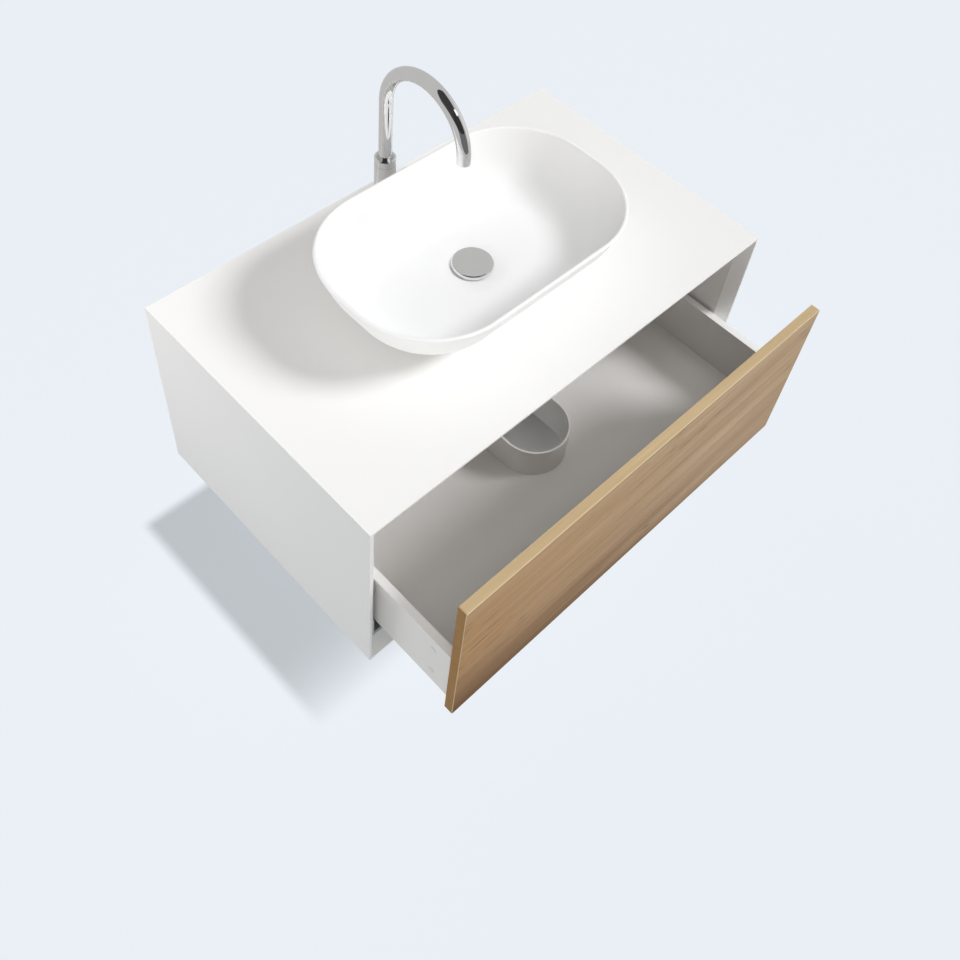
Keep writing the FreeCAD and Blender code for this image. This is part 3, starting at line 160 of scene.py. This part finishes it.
lacquer = Finish("matt_white_lacquer")
cloud = lacquer.grain(scale=5, detail=2)
peel = lacquer.grain(scale=420, detail=2)
clean_lacquer = (0.898, 0.888, 0.872)
dull_lacquer = (0.875, 0.865, 0.849)
lacquer.feed({
    "Base Color": lacquer.blend(cloud, clean_lacquer, dull_lacquer),
    "Roughness": 0.4 + 0.12 * cloud,
    "Normal": lacquer.relief(peel, depth=0.00012),
})
lacquer.coat("counter_top", "bottom_panel", "left_side_panel", "right_side_panel")

# Back rails: two white-faced chipboard rails between the sides, flush with the wall, cut edges left plain.
# The upper one takes the wall bolts. The face has the dry, finely pitted grain of melamine paper.
rail_board = Finish("white_faced_rail")
mottle = rail_board.grain(scale=38, detail=4)
pits = rail_board.grain(scale=1400, detail=2)
rail_white = (0.80, 0.79, 0.765)
rail_grey = (0.74, 0.73, 0.705)
rail_board.feed({
    "Base Color": rail_board.blend(mottle, rail_white, rail_grey),
    "Roughness": 0.55 + 0.2 * mottle,
    "Normal": rail_board.relief(pits, depth=0.00008),
})
rail_board.coat("back_rail_upper", "back_rail_lower")

# Hanger brackets and runners: pressed from zinc-plated strip, bright grey with a fine crystal pattern.
# The brackets are screwed to the sides; the runners' three members slide in each other.
zinc = Finish("zinc_plate", {"Metallic": 1.0})
crystal = zinc.add("TexVoronoi", {}, {"Vector": zinc.place, "Scale": 260.0}, "Color")
crystal_tone = zinc.add("RGBToBW", {}, {"Color": crystal})
drawing = zinc.grain(scale=3, detail=5, stretch=(90, 4, 90))
dark_zinc = (0.50, 0.52, 0.55)
pale_zinc = (0.64, 0.65, 0.66)
zinc.feed({
    "Base Color": zinc.blend(crystal_tone, dark_zinc, pale_zinc),
    "Roughness": 0.24 + 0.14 * crystal_tone + 0.1 * drawing,
    "Normal": zinc.relief(drawing, depth=0.00006),
})
for side in ("left", "right"):
    zinc.coat(f"hanger_bracket_{side}", f"runner_rail_{side}")
    zinc.coat(f"runner_middle_{side}", f"runner_drawer_member_{side}")

# Locking clips: grey moulded catches under the drawer's front corners, with a spark-eroded surface.
# They snap the drawer onto its runners.
grey_plastic = Finish("grey_moulded_plastic")
spark = grey_plastic.grain(scale=2600, detail=2)
flow = grey_plastic.grain(scale=45, detail=3)
dark_grey_plastic = (0.085, 0.09, 0.1)
mid_grey_plastic = (0.115, 0.12, 0.13)
grey_plastic.feed({
    "Base Color": grey_plastic.blend(flow, dark_grey_plastic, mid_grey_plastic),
    "Roughness": 0.42 + 0.2 * spark,
    "Normal": grey_plastic.relief(spark, depth=0.00006),
})
grey_plastic.coat("runner_clips")

# Screws: zinc-plated, with a cross recess in each head, turned in by hand.
# They hold the brackets and the runners' rails to the cabinet's sides, and the drawer's sides to its back.
heads = Finish("zinc_screw_head", {"Metallic": 1.0})
wear = heads.grain(scale=900, detail=4)
worn_zinc = (0.46, 0.47, 0.49)
bright_zinc = (0.66, 0.67, 0.68)
heads.feed({
    "Base Color": heads.blend(wear, worn_zinc, bright_zinc),
    "Roughness": 0.26 + 0.24 * wear,
    "Normal": heads.relief(wear, depth=0.00004),
})
heads.coat("bracket_screws", "runner_screws", "drawer_back_screws")


def loop_of(mesh, points):
    return [mesh.verts.new(point) for point in points]


def bridge(mesh, first, second):
    """Quads between two closed loops with the same number of points."""
    for number in range(len(first)):
        after = (number + 1) % len(first)
        mesh.faces.new((first[number], first[after], second[after], second[number]))


def circle(radius, count=24):
    turns = [math.tau * (step + 0.5) / count for step in range(count)]
    return [(radius * math.cos(turn), radius * math.sin(turn)) for turn in turns]


def facing_x(face, way, rise, points):
    """Points (y, z) round a place on a plane that faces along X, lifted off it by a rise."""
    return [Vector((face.x + rise * way, face.y + y, face.z + z)) for y, z in points]


def cross_head(mesh, face, way, radius):
    """A low domed head with a cross recess, on a plane that faces along X."""
    rise, depth = 0.0007, 0.0006
    shoulder_share, reach_share, arm_share, pit_share = 0.86, 0.62, 0.13, 0.8
    reach = radius * reach_share
    half = radius * arm_share
    cross = [
        (reach, -half), (reach, half), (half, half), (half, reach), (-half, reach), (-half, half),
        (-reach, half), (-reach, -half), (-half, -half), (-half, -reach), (half, -reach), (half, -half),
    ]
    floor_of_cross = [(y * pit_share, z * pit_share) for y, z in cross]
    foot = loop_of(mesh, facing_x(face, way, 0, circle(radius)))
    shoulder = loop_of(mesh, facing_x(face, way, rise, circle(radius * shoulder_share)))
    mouth = loop_of(mesh, facing_x(face, way, rise, cross))
    pit = loop_of(mesh, facing_x(face, way, rise - depth, floor_of_cross))
    bridge(mesh, foot, shoulder)
    bridge(mesh, mouth, pit)
    mesh.faces.new(pit)
    edges = []
    for points in (shoulder, mouth):
        for number, point in enumerate(points):
            after = points[(number + 1) % len(points)]
            edges.append(mesh.edges.get((point, after)) or mesh.edges.new((point, after)))
    bmesh.ops.triangle_fill(mesh, use_beauty=True, edges=edges)


def finished(name, mesh, finish, body, smooth_under=30):
    """An object from a mesh under construction, with its finish and the body it moves with."""
    bmesh.ops.recalc_face_normals(mesh, faces=mesh.faces)
    data = bpy.data.meshes.new(name)
    mesh.to_mesh(data)
    mesh.free()
    data.shade_smooth()
    data.set_sharp_from_angle(angle=math.radians(smooth_under))
    data.materials.append(finish.material)
    piece = bpy.data.objects.new(name, data)
    bpy.context.scene.collection.objects.link(piece)
    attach(piece, body)


def spread(low, high, inset, count):
    """Places along a box's side, evenly from one inset to the other, or its middle for one place."""
    if count == 1:
        return [(low + high) / 2]
    step = (high - low - 2 * inset) / (count - 1)
    return [low + inset + step * number for number in range(count)]


def side_faces(node, radius, columns, rows, face_x, way):
    """Where a node's screws or cams show, on both sides: the way each faces, and its place."""
    low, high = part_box(node)
    ys = spread(low.y, high.y, radius, columns)
    zs = spread(low.z, high.z, radius, rows)
    return [(side * way, Vector((side * face_x, y, z))) for side in (-1, 1) for y in ys for z in zs]


inner_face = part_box("right_side_panel")[0].x
drawer_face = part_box("drawer_side_right")[1].x
wood_head, back_head = 0.0035, 0.004
head_height, bracket_steel, rail_steel = 0.002, 0.003, 0.0015
dome_share = 0.97
inwards, outwards = -1, 1
bracket_face = inner_face - bracket_steel - head_height
rail_face = inner_face - rail_steel - head_height
cabinet_heads = bmesh.new()
for way, face in side_faces("bracket_screws", wood_head, 1, 2, bracket_face, inwards):
    cross_head(cabinet_heads, face, way, wood_head * dome_share)
for way, face in side_faces("runner_screws", wood_head, 3, 1, rail_face, inwards):
    cross_head(cabinet_heads, face, way, wood_head * dome_share)
finished("cabinet_screw_heads", cabinet_heads, heads, "cabinet")
back_heads = bmesh.new()
for way, face in side_faces("drawer_back_screws", back_head, 1, 2, drawer_face, outwards):
    cross_head(back_heads, face, way, back_head * dome_share)
finished("drawer_screw_heads", back_heads, heads, "drawer")

# Drawer box: sides, bottom and split back of about 12 mm board, faced in white melamine with a faint
# linen emboss, the back screwed between the sides.
# The sides are grooved for the bottom, whose U notch clears the trap, and their top edges are painted whiter
# as painted light.
melamine = Finish("white_melamine")
haze = melamine.grain(scale=7, detail=3)
emboss = melamine.grain(scale=1800, detail=2, stretch=(1, 0.3, 1))
clean_melamine = (0.79, 0.772, 0.748)
dull_melamine = (0.755, 0.737, 0.713)
# Painted light: the top faces of the sides are painted whiter, as light falling on them.
lit_top_white = (0.965, 0.958, 0.945)
lit_top_depth = 0.0003
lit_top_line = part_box("drawer_side_left")[1].z - lit_top_depth
board_white = melamine.blend(haze, clean_melamine, dull_melamine)
on_lit_top = melamine.along("Z") > lit_top_line
melamine.feed({
    "Base Color": melamine.blend(0.85 * on_lit_top, board_white, lit_top_white),
    "Roughness": 0.34 + 0.12 * haze + 0.08 * emboss,
    "Normal": melamine.relief(emboss, depth=0.00004),
})
melamine.coat("drawer_side_left", "drawer_side_right", "drawer_back_left", "drawer_back_right")
melamine.coat("drawer_bottom")

# Trap recess: a 3 mm strip of pale plastic bent to a U and glued into the bottom's notch.
# Its surface shows faint draw lines along the strip.
strip = Finish("pale_plastic_strip")
draw_lines = strip.grain(scale=4, detail=4, stretch=(3, 3, 160))
strip_grey = (0.74, 0.725, 0.70)
strip_white = (0.80, 0.79, 0.77)
strip.feed({
    "Base Color": strip.blend(draw_lines, strip_grey, strip_white),
    "Roughness": 0.36 + 0.14 * draw_lines,
    "Normal": strip.relief(draw_lines, depth=0.00005),
})
strip.coat("trap_recess_wall")

# Drawer front: a 15 mm board faced and edged in light oak foil, held by the cam bolts, with no handle.
# The grain runs from end to end, with long tonal streaks, open pores and a few short dark figures.
# The wood turns from brown to grey towards the right. Painted shade darkens it low on the left
# and on its ends, and painted light makes it paler along the top and on its rounded edges.
oak = Finish("light_oak_foil", {"Specular IOR Level": 0.03})
streak = oak.grain(3.2, 4, (0.5, 9, 9))
band = oak.grain(4, 4, (0.8, 30, 30))
fibre = oak.grain(6, 6, (1.4, 75, 75))
pore = oak.grain(10, 3, (4.5, 150, 150))
figure = oak.grain(5, 2, (3.0, 24, 24))
patch = oak.grain(3.1, 1, (1, 1, 1.6))
across = oak.along("X")
upward = oak.along("Z")
front_low, front_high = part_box("drawer_front")

calm_from, calm_to = 0.06, 0.34
busy = oak.fade(abs(across), calm_from, calm_to, 1.25, 0.7)
woven = 0.5 * streak + 0.3 * band + 0.2 * fibre
tone = oak.ramp(0.5 + (woven - 0.5) * busy, (0.34, 0), (0.66, 1))
dark_brown, light_brown = (0.246, 0.134, 0.056), (0.444, 0.262, 0.119)
dark_grey, light_grey = (0.285, 0.188, 0.104), (0.495, 0.347, 0.217)
brown_until, grey_from = -0.25, 0.28
drift_right = oak.fade(across + 0.35 * streak, brown_until, grey_from)
brown_oak = oak.blend(tone, dark_brown, light_brown)
grey_oak = oak.blend(tone, dark_grey, light_grey)
faced_oak = oak.blend(drift_right, brown_oak, grey_oak)

pore_brown = (0.17, 0.100, 0.048)
pores = oak.ramp(pore, (0.57, 0), (0.70, 1))
pored_oak = oak.blend(0.34 * pores, faced_oak, pore_brown)

# Painted shade: the front is darkened towards the bottom, most on the left.
painted_shade_brown = (0.100, 0.042, 0.013)
low_shade_height, full_low_shade_height = 0.156, 0.019
low_shade_top = front_low.z + low_shade_height
low_shade_fade = oak.fade(upward + 0.03 * streak, low_shade_top, front_low.z + full_low_shade_height)
low_shade = oak.ramp(low_shade_fade, (0, 0), (0.22, 0.4), (1, 1))
low_shaded_oak = oak.blend(low_shade * (0.5 - 0.95 * across), pored_oak, painted_shade_brown)

# Painted light: a paler band along the top of the front.
painted_light_cream = (0.60, 0.47, 0.32)
top_light_depth = 0.035
top_light = oak.fade(upward, front_high.z - top_light_depth, front_high.z)
top_lit_oak = oak.blend(0.2 * top_light, low_shaded_oak, painted_light_cream)

figure_brown = (0.115, 0.070, 0.036)
figures = oak.ramp(figure, (0.62, 0), (0.69, 1))
figured_spots = oak.ramp(patch, (0.47, 0.15), (0.58, 1))
figuring = figures * figured_spots * (0.3 + 0.75 * fibre)
figured_oak = oak.blend(figuring, top_lit_oak, figure_brown)

normal = oak.add("TexCoord", out="Normal")
end_face, front_face, top_face = [abs(oak.along(axis, normal)) for axis in "XYZ"]
dark_edge, light_edge = (0.49, 0.350, 0.195), (0.64, 0.490, 0.295)
# Painted shade: the end faces are darker than the other edges.
dark_shaded_end, light_shaded_end = (0.295, 0.158, 0.052), (0.390, 0.220, 0.082)
square_on = 0.75
edged_oak = oak.blend(front_face < square_on, figured_oak, oak.blend(tone, dark_edge, light_edge))
shaded_end_oak = oak.blend(end_face > square_on, edged_oak, oak.blend(tone, dark_shaded_end, light_shaded_end))
# Painted highlight: the rounded edges are painted a lighter tan, as light catching them.
arris_highlight_tan = (0.70, 0.56, 0.36)
slanting = front_face * top_face + front_face * end_face
arris_highlight = oak.ramp(slanting, (0.1, 0), (0.4, 1))
oak.feed({
    "Base Color": oak.blend(0.7 * arris_highlight, shaded_end_oak, arris_highlight_tan),
    "Roughness": 0.44 + 0.14 * pores - 0.06 * tone,
    "Normal": oak.relief(fibre - 0.5 * pores, depth=0.00014),
})
oak.coat("drawer_front")

# Cam locks and covers: zinc discs in the sides catch steel bolts and pull the drawer's front on.
# A white plastic cap, with a moulded ring and a small sprue mark in its middle, is pressed over each.
heads.coat("drawer_cam_locks")
zinc.coat("drawer_cam_bolts")
cover_white = Finish("white_cover_cap")
mould_flow = cover_white.grain(scale=300, detail=3)
cap_grey = (0.74, 0.73, 0.71)
cap_white = (0.78, 0.77, 0.75)
cover_white.feed({
    "Base Color": cover_white.blend(mould_flow, cap_grey, cap_white),
    "Roughness": 0.3 + 0.15 * mould_flow,
    "Normal": cover_white.relief(mould_flow, depth=0.00004),
})
cover_section = [
    (0.0057, 0), (0.0056, 0.0004), (0.0052, 0.0006), (0.0047, 0.0006), (0.0046, 0.0002), (0.0040, 0.0002),
    (0.0039, 0.0006), (0.0012, 0.00065), (0.0010, 0.0003), (0.0004, 0.0003),
]
covers = bmesh.new()
cam_radius = 0.0055
for way, face in side_faces("drawer_cam_locks", cam_radius, 1, 2, drawer_face, outwards):
    rings = [loop_of(covers, facing_x(face, way, rise, circle(radius))) for radius, rise in cover_section]
    for outer, inner in zip(rings, rings[1:]):
        bridge(covers, outer, inner)
    covers.faces.new(rings[-1])
finished("cam_cover_caps", covers, cover_white, "drawer")

# Basin: slip-cast vessel with a thin rim and a matt white glaze, bedded on the counter in white silicone.
# The glaze is a little uneven, so its gloss drifts across the bowl.
glaze = Finish("matt_white_glaze", {"Coat Roughness": 0.3})
drift = glaze.grain(scale=9, detail=3)
ripple = glaze.grain(scale=70, detail=2)
bright_glaze = (0.928, 0.926, 0.921)
soft_glaze = (0.912, 0.910, 0.905)
glaze.feed({
    "Base Color": glaze.blend(drift, bright_glaze, soft_glaze),
    "Roughness": 0.36 + 0.14 * drift,
    "Coat Weight": 0.06 + 0.08 * drift,
    "Normal": glaze.relief(ripple, depth=0.00008),
})
glaze.coat("basin")
silicone = Finish("white_silicone")
smear = silicone.grain(scale=130, detail=3)
fresh_silicone = (0.80, 0.80, 0.79)
aged_silicone = (0.74, 0.74, 0.73)
silicone.feed({
    "Base Color": silicone.blend(smear, fresh_silicone, aged_silicone),
    "Roughness": 0.3 + 0.2 * smear,
    "Normal": silicone.relief(smear, depth=0.0002),
})
silicone.coat("basin_sealant")

# Pop-up waste and its fixings: chromed brass cap and tube, turned brass nut and plunger, rubber seals.
# The tube is clamped through basin and counter by the nut below, and a grey moulding guides the plunger.
chrome = Finish("polished_chrome", {"Metallic": 1.0})
smudge = chrome.grain(scale=55, detail=4)
buffing = chrome.grain(scale=24, detail=2)
dark_chrome = (0.785, 0.787, 0.793)
light_chrome = (0.82, 0.822, 0.826)
chrome.feed({
    "Base Color": chrome.blend(smudge, dark_chrome, light_chrome),
    "Roughness": 0.03 + 0.05 * smudge,
    "Normal": chrome.relief(buffing, depth=0.00003),
})
chrome.coat("waste_cap", "waste_body")
brass = Finish("turned_brass", {"Metallic": 1.0})
half_pitch = 0.00075
thread = brass.add("Math", {"operation": "PINGPONG"}, {0: brass.along("Z"), 1: half_pitch})
tarnish = brass.grain(scale=80, detail=4)
bright_brass = (0.70, 0.52, 0.24)
dull_brass = (0.56, 0.40, 0.17)
brass.feed({
    "Base Color": brass.blend(tarnish, bright_brass, dull_brass),
    "Roughness": 0.2 + 0.3 * tarnish,
    "Normal": brass.relief(1300 * thread, depth=0.0004),
})
brass.coat("waste_nut", "waste_plunger")
rubber = Finish("black_rubber")
bloom = rubber.grain(scale=240, detail=4)
black_rubber = (0.018, 0.018, 0.019)
bloomed_rubber = (0.04, 0.04, 0.042)
rubber.feed({
    "Base Color": rubber.blend(bloom, black_rubber, bloomed_rubber),
    "Roughness": 0.6 + 0.25 * bloom,
    "Normal": rubber.relief(bloom, depth=0.00012),
})
rubber.coat("flange_seal", "waste_washer", "coupling_washer")
grey_plastic.coat("plunger_guide")

# Bottle trap: white moulded polypropylene, hand-tight ribbed nuts, a cup that screws off for cleaning.
# It hangs on the waste and leaves through the wall.
trap_plastic = Finish("white_trap_plastic")
sink_marks = trap_plastic.grain(scale=60, detail=3)
trap_white = (0.82, 0.82, 0.81)
trap_grey = (0.77, 0.77, 0.76)
trap_plastic.feed({
    "Base Color": trap_plastic.blend(sink_marks, trap_white, trap_grey),
    "Roughness": 0.2 + 0.16 * sink_marks,
    "Normal": trap_plastic.relief(sink_marks, depth=0.0001),
})
trap_plastic.coat("trap_inlet_tube", "coupling_nut", "trap_head", "trap_inlet_nut", "trap_cup")
trap_plastic.coat("outlet_pipe", "trap_outlet_nut", "wall_flange")


def ribbed(mesh, node, axis, start_share, end_share, count):
    """Grip ribs along a round nut whose middle is on the YZ plane, rounded over and tapered at their ends."""
    low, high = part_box(node)
    middle = (low + high) / 2
    radius = high.x
    around = [number for number in range(3) if number != axis]
    length = high[axis] - low[axis]
    start, end = [low[axis] + length * share for share in (start_share, end_share)]
    taper_share, end_rise_share = 0.12, 0.25
    taper = (end - start) * taper_share
    levels = [(start, end_rise_share), (start + taper, 1), (end - taper, 1), (end, end_rise_share)]
    foot_half, shoulder_half = 0.0021, 0.0014
    sunk, shoulder, crest = -0.0003, 0.0008, 0.0012
    section = (
        (-foot_half, sunk), (-shoulder_half, shoulder), (0, crest),
        (shoulder_half, shoulder), (foot_half, sunk),
    )
    for step in range(count):
        turn = math.tau * step / count
        loops = []
        for level, share in levels:
            loop = []
            for side, rise in section:
                reach = radius + (rise * share if rise > 0 else rise)
                place = Vector()
                place[axis] = level
                place[around[0]] = middle[around[0]] + reach * math.cos(turn) - side * math.sin(turn)
                place[around[1]] = middle[around[1]] + reach * math.sin(turn) + side * math.cos(turn)
                loop.append(place)
            loops.append(loop_of(mesh, loop))
        for first, second in zip(loops, loops[1:]):
            bridge(mesh, first, second)
        mesh.faces.new(loops[0])
        mesh.faces.new(loops[-1])


along_y, along_z = 1, 2
ribs = bmesh.new()
ribbed(ribs, "coupling_nut", along_z, 0.08, 0.92, 20)
ribbed(ribs, "trap_inlet_nut", along_z, 0.1, 0.9, 18)
ribbed(ribs, "trap_outlet_nut", along_y, 0.08, 0.92, 20)
ribbed(ribs, "trap_cup", along_z, 0.79, 0.985, 24)
finished("trap_nut_ribs", ribs, trap_plastic, "cabinet", smooth_under=40)

# Tap: body, spout and side lever in the waste's chrome, clamped to the counter by a brass shank and nut.
# The lever tilts on a steel pin and works a grey cartridge, and two tails of ribbed steel tube hang below.
# A moulded screen of rings and spokes is pressed into the spout's tip and smooths the water.
chrome.coat("tap_body", "lever_cap", "tap_lever", "tap_spout", "spout_collar")
brass.coat("tap_shank", "tap_nut", "cartridge_stem")
rubber.coat("tap_gasket", "tap_rubber_washer")
zinc.coat("tap_steel_washer", "lever_pivot_pin")
grey_plastic.coat("tap_cartridge", "spout_aerator")
tails = Finish("steel_tail", {"Metallic": 1.0})
twist = tails.add("TexWave", {}, {"Vector": tails.place, "Scale": 260.0, "Distortion": 0.4}, "Fac")
dark_steel = (0.42, 0.43, 0.45)
light_steel = (0.62, 0.63, 0.65)
tails.feed({
    "Base Color": tails.blend(twist, dark_steel, light_steel),
    "Roughness": 0.24 + 0.16 * twist,
    "Normal": tails.relief(twist, depth=0.0002),
})
tails.coat("tap_inlet_tails")
screen_radii = (0.0009, 0.0021, 0.0033, 0.00445)
spokes, spoke_half, screen_thickness, screen_set_back = 8, 0.00016, 0.0016, 0.0012
tip_low, tip_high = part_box("spout_aerator")
tip = (tip_low + tip_high) / 2
screen_face = tip_low.z + screen_set_back
screen = bmesh.new()
screen_loops = [
    loop_of(screen, [(tip.x + x, tip.y + y, screen_face) for x, y in circle(radius, spokes)])
    for radius in screen_radii
]
for first, second in zip(screen_loops, screen_loops[1:]):
    bridge(screen, first, second)
cells = list(screen.faces)
screen.faces.new(screen_loops[0])
bmesh.ops.inset_individual(screen, faces=cells, thickness=spoke_half, use_even_offset=True)
bmesh.ops.delete(screen, geom=cells, context="FACES_ONLY")
bmesh.ops.recalc_face_normals(screen, faces=screen.faces)
bmesh.ops.solidify(screen, geom=list(screen.faces), thickness=-screen_thickness)
finished("aerator_screen", screen, trap_plastic, "spout")


# Studio: one wide pale floor below the hanging unit, which doesn't show in reflections.
# It glows a little by itself, so that it stays even in tone and its shadow stays pale.
def staged(name, corners, finish):
    """One flat sheet of the studio, which is no part of the unit."""
    mesh = bpy.data.meshes.new(name)
    mesh.from_pydata(corners, [], [range(len(corners))])
    mesh.materials.append(finish.material)
    sheet = bpy.data.objects.new(name, mesh)
    bpy.context.scene.collection.objects.link(sheet)
    return sheet


def level(low, high, height):
    """The corners of a level rectangle, from its low and high corners in plan."""
    return [(x, y, height) for x, y in ((low.x, low.y), (high.x, low.y), (high.x, high.y), (low.x, high.y))]


floor_glow = (0.448, 0.475, 0.502, 1)
constants = {"Specular IOR Level": 0.0, "Emission Color": floor_glow, "Emission Strength": 1.0}
pale = Finish("pale_floor", constants)
breath = pale.grain(scale=0.8, detail=2)
floor_grey = (0.179, 0.189, 0.199)
lighter_floor_grey = (0.181, 0.191, 0.201)
pale.feed({
    "Base Color": pale.blend(breath, floor_grey, lighter_floor_grey),
    "Roughness": 0.8 + 0.1 * breath,
})
floor_corner = Vector((40, 40))
floor_height = -0.43
floor = staged("studio_floor", level(-floor_corner, floor_corner, floor_height), pale)
floor.visible_glossy = False


# Reflection cards: a dark ceiling and dark walls in front and on the left, a pale wall on the right, and
# one bright window. They show only in reflections, as on the chrome, and they light nothing.
def card(name, tone, corners):
    glow = {"Base Color": (0, 0, 0, 1), "Specular IOR Level": 0.0, "Emission Color": (tone, tone, tone, 1)}
    board = staged(name, corners, Finish(name, {**glow, "Emission Strength": 1.0}))
    board.visible_camera = board.visible_diffuse = board.visible_shadow = False


def wall(start, end, bottom, top):
    """The corners of an upright rectangle, over a line in plan."""
    return [(*start, bottom), (*end, bottom), (*end, top), (*start, top)]


ceiling, left, right, front, back = 3.8, -4.5, 3.2, -3.2, 0.45
front_end, front_split, front_bottom = 1.7, 0.9, -1.1
ceiling_end, ceiling_end_back = 2.1, -0.2
card("dark_ceiling", 0.05, [
    (left, back, ceiling), (ceiling_end, ceiling_end_back, ceiling),
    (ceiling_end, front, ceiling), (left, front, ceiling)])
card("dark_front_wall", 0.04, wall((left, front), (front_end, front), front_split, ceiling))
card("dim_front_wall", 0.16, wall((left, front), (front_end, front), front_bottom, front_split))
card("dark_left_wall", 0.06, wall((left, front), (left, back), bottom=1.1, top=ceiling))
card("pale_right_wall", 0.78, wall((right, front), (right, 0.2), bottom=-0.8, top=1.7))
card("bright_window", 1.25, wall((0.35, -2.4), (2.8, -2.4), bottom=2.3, top=3.25))


# Light: a soft key from the right and in front, and wide fills from above and from the left.
# The basin has a key and fills of its own, and none of these lamps lights the floor.
def nodes_of(*names):
    return [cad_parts[name] for name in names]


def linked(name, state, things):
    """A group of things that a lamp, or its shadow, is kept to or kept off."""
    group = bpy.data.collections.new(name)
    for thing in things:
        group.objects.link(thing)
    for link in group.collection_objects:
        link.light_linking.link_state = state
    return group


def lamp(name, kind, energy, towards, tint, receivers, blockers=None):
    """A lamp that lights its receivers alone, and is shaded by its blockers or by everything."""
    data = bpy.data.lights.new(name, kind)
    data.energy = energy
    data.color = tint
    light = bpy.data.objects.new(name, data)
    light.rotation_euler = Vector(towards).to_track_quat("-Z", "Y").to_euler()
    light.light_linking.receiver_collection = receivers
    light.light_linking.blocker_collection = blockers
    light.visible_glossy = False
    bpy.context.scene.collection.objects.link(light)
    return light


def sun(name, energy, spread_degrees, towards, tint, receivers, blockers=None):
    light = lamp(name, "SUN", energy, towards, tint, receivers, blockers)
    light.data.angle = math.radians(spread_degrees)


daylight, white = (0.97, 0.985, 1.0), (1.0, 1.0, 1.0)
warm_white, faintly_warm = (1.0, 0.975, 0.94), (1.0, 0.99, 0.98)
off_floor = linked("all_but_floor", "EXCLUDE", [floor])
only_floor = linked("floor_alone", "INCLUDE", [floor])
only_basin = linked("basin_alone", "INCLUDE", nodes_of("basin"))
off_floor_and_basin = linked("all_but_floor_and_basin", "EXCLUDE", [floor, *nodes_of("basin")])
off_floor_and_side = linked("all_but_floor_and_side", "EXCLUDE", [floor, *nodes_of("left_side_panel")])
bright_metal = nodes_of("tap_spout", "spout_collar", "tap_body", "waste_cap")
past_metal = linked("all_but_metal", "EXCLUDE", bright_metal)
past_basin = linked("all_but_basin_and_spout", "EXCLUDE", nodes_of("basin", "tap_spout"))
sun("key", 2.5, 17, (-1.05, 0.87, -1), daylight, off_floor_and_basin, past_metal)
sun("basin_key", 1.78, 17, (-1.05, 0.87, -1.3), daylight, only_basin, past_metal)
sun("overhead", 0.36, 35, (-0.1, 0.25, -1), daylight, off_floor, past_basin)
sun("contact_fill", 0.36, 70, (0, 0, -1), daylight, off_floor)
sun("left_fill", 0.46, 60, (0.62, 0.62, -0.14), warm_white, off_floor_and_side)
sun("basin_fill", 0.76, 60, (0.65, 0.6, -0.2), faintly_warm, only_basin, only_basin)
sun("basin_lift", 0.08, 40, (0.15, -0.8, -0.35), faintly_warm, only_basin, past_basin)

# Floor lamp: one small lamp high above that lights the floor alone. Only a graded sheet inside the
# counter shades it, so that the unit's shadow on the floor fades towards the front.
counter_low, counter_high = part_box("counter_top")
shade_height = (counter_low.z + counter_high.z) / 2
shaded_from, clear_until = 0.156, 0.011
shade = Finish("graduated_shade", {"Base Color": (0, 0, 0, 1), "Specular IOR Level": 0.0})
clear = shade.fade(shade.along("Y"), counter_low.y + shaded_from, counter_low.y + clear_until)
shade.feed({"Alpha": 1 - clear * clear})
flag = staged("floor_shade", level(counter_low, counter_high, shade_height), shade)
flag.visible_camera = flag.visible_diffuse = flag.visible_glossy = False
only_shade = linked("shade_alone", "INCLUDE", [flag])
sun("floor_lamp", 5.6, 2.5, (-0.168, 0.006, -1), white, only_floor, only_shade)

# Room: a warm lamp close by on the left, and an even pale surround that is brighter in reflections.
# Behind the unit the camera sees a plain pale backdrop.
left_glow = lamp("left_glow", "AREA", 2.35, (0.6, -0.5, -0.35), warm_white, off_floor)
left_glow.data.size = 0.5
left_glow.location = (-1.0, 0.3, 0.25)
left_glow.visible_camera = False
room = bpy.data.worlds.new("pale_room")
room.use_nodes = True
room.node_tree.nodes.remove(room.node_tree.nodes["Background"])
air = Nodes(room.node_tree, "World Output")
room_tint, backdrop_tint = (1.0, 0.99, 0.975, 1), (0.823, 0.871, 0.913, 1)
room_strength, reflected_strength = 0.29, 0.59
strength = air.fade(air.add("LightPath", out="Is Glossy Ray"), 0, 1, room_strength, reflected_strength)
room_light = air.add("Background", {}, {"Color": room_tint, "Strength": strength})
backdrop = air.add("Background", {}, {"Color": backdrop_tint})
in_view = air.add("LightPath", out="Is Camera Ray")
air.feed({"Surface": air.add("MixShader", {}, {0: in_view, 1: room_light, 2: backdrop})})
bpy.context.scene.world = room
bpy.context.scene.view_settings.view_transform = "Standard"

# Camera: where the photograph was taken from, high in front of the unit and to its left.
# Its place, its three axes and its lens were fitted to the straight edges of the cabinet box.
lens = bpy.data.cameras.new("photo_camera")
lens.sensor_width = 36
lens.lens = 41.312
lens.shift_x = -0.02955
lens.shift_y = -0.1588
camera = bpy.data.objects.new("photo_camera", lens)
camera_place = Vector((-0.839542, -0.993821, 1.258648))
rightward = Vector((0.70421169, -0.70331761, 0.0971094))
skyward = Vector((0.49270742, 0.58258454, 0.64640131))
backward = Vector((-0.51119986, -0.40735684, 0.75679265))
turned = Matrix((rightward, skyward, backward)).transposed().to_4x4()
camera.matrix_world = Matrix.Translation(camera_place) @ turned
bpy.context.scene.collection.objects.link(camera)
bpy.context.scene.camera = camera
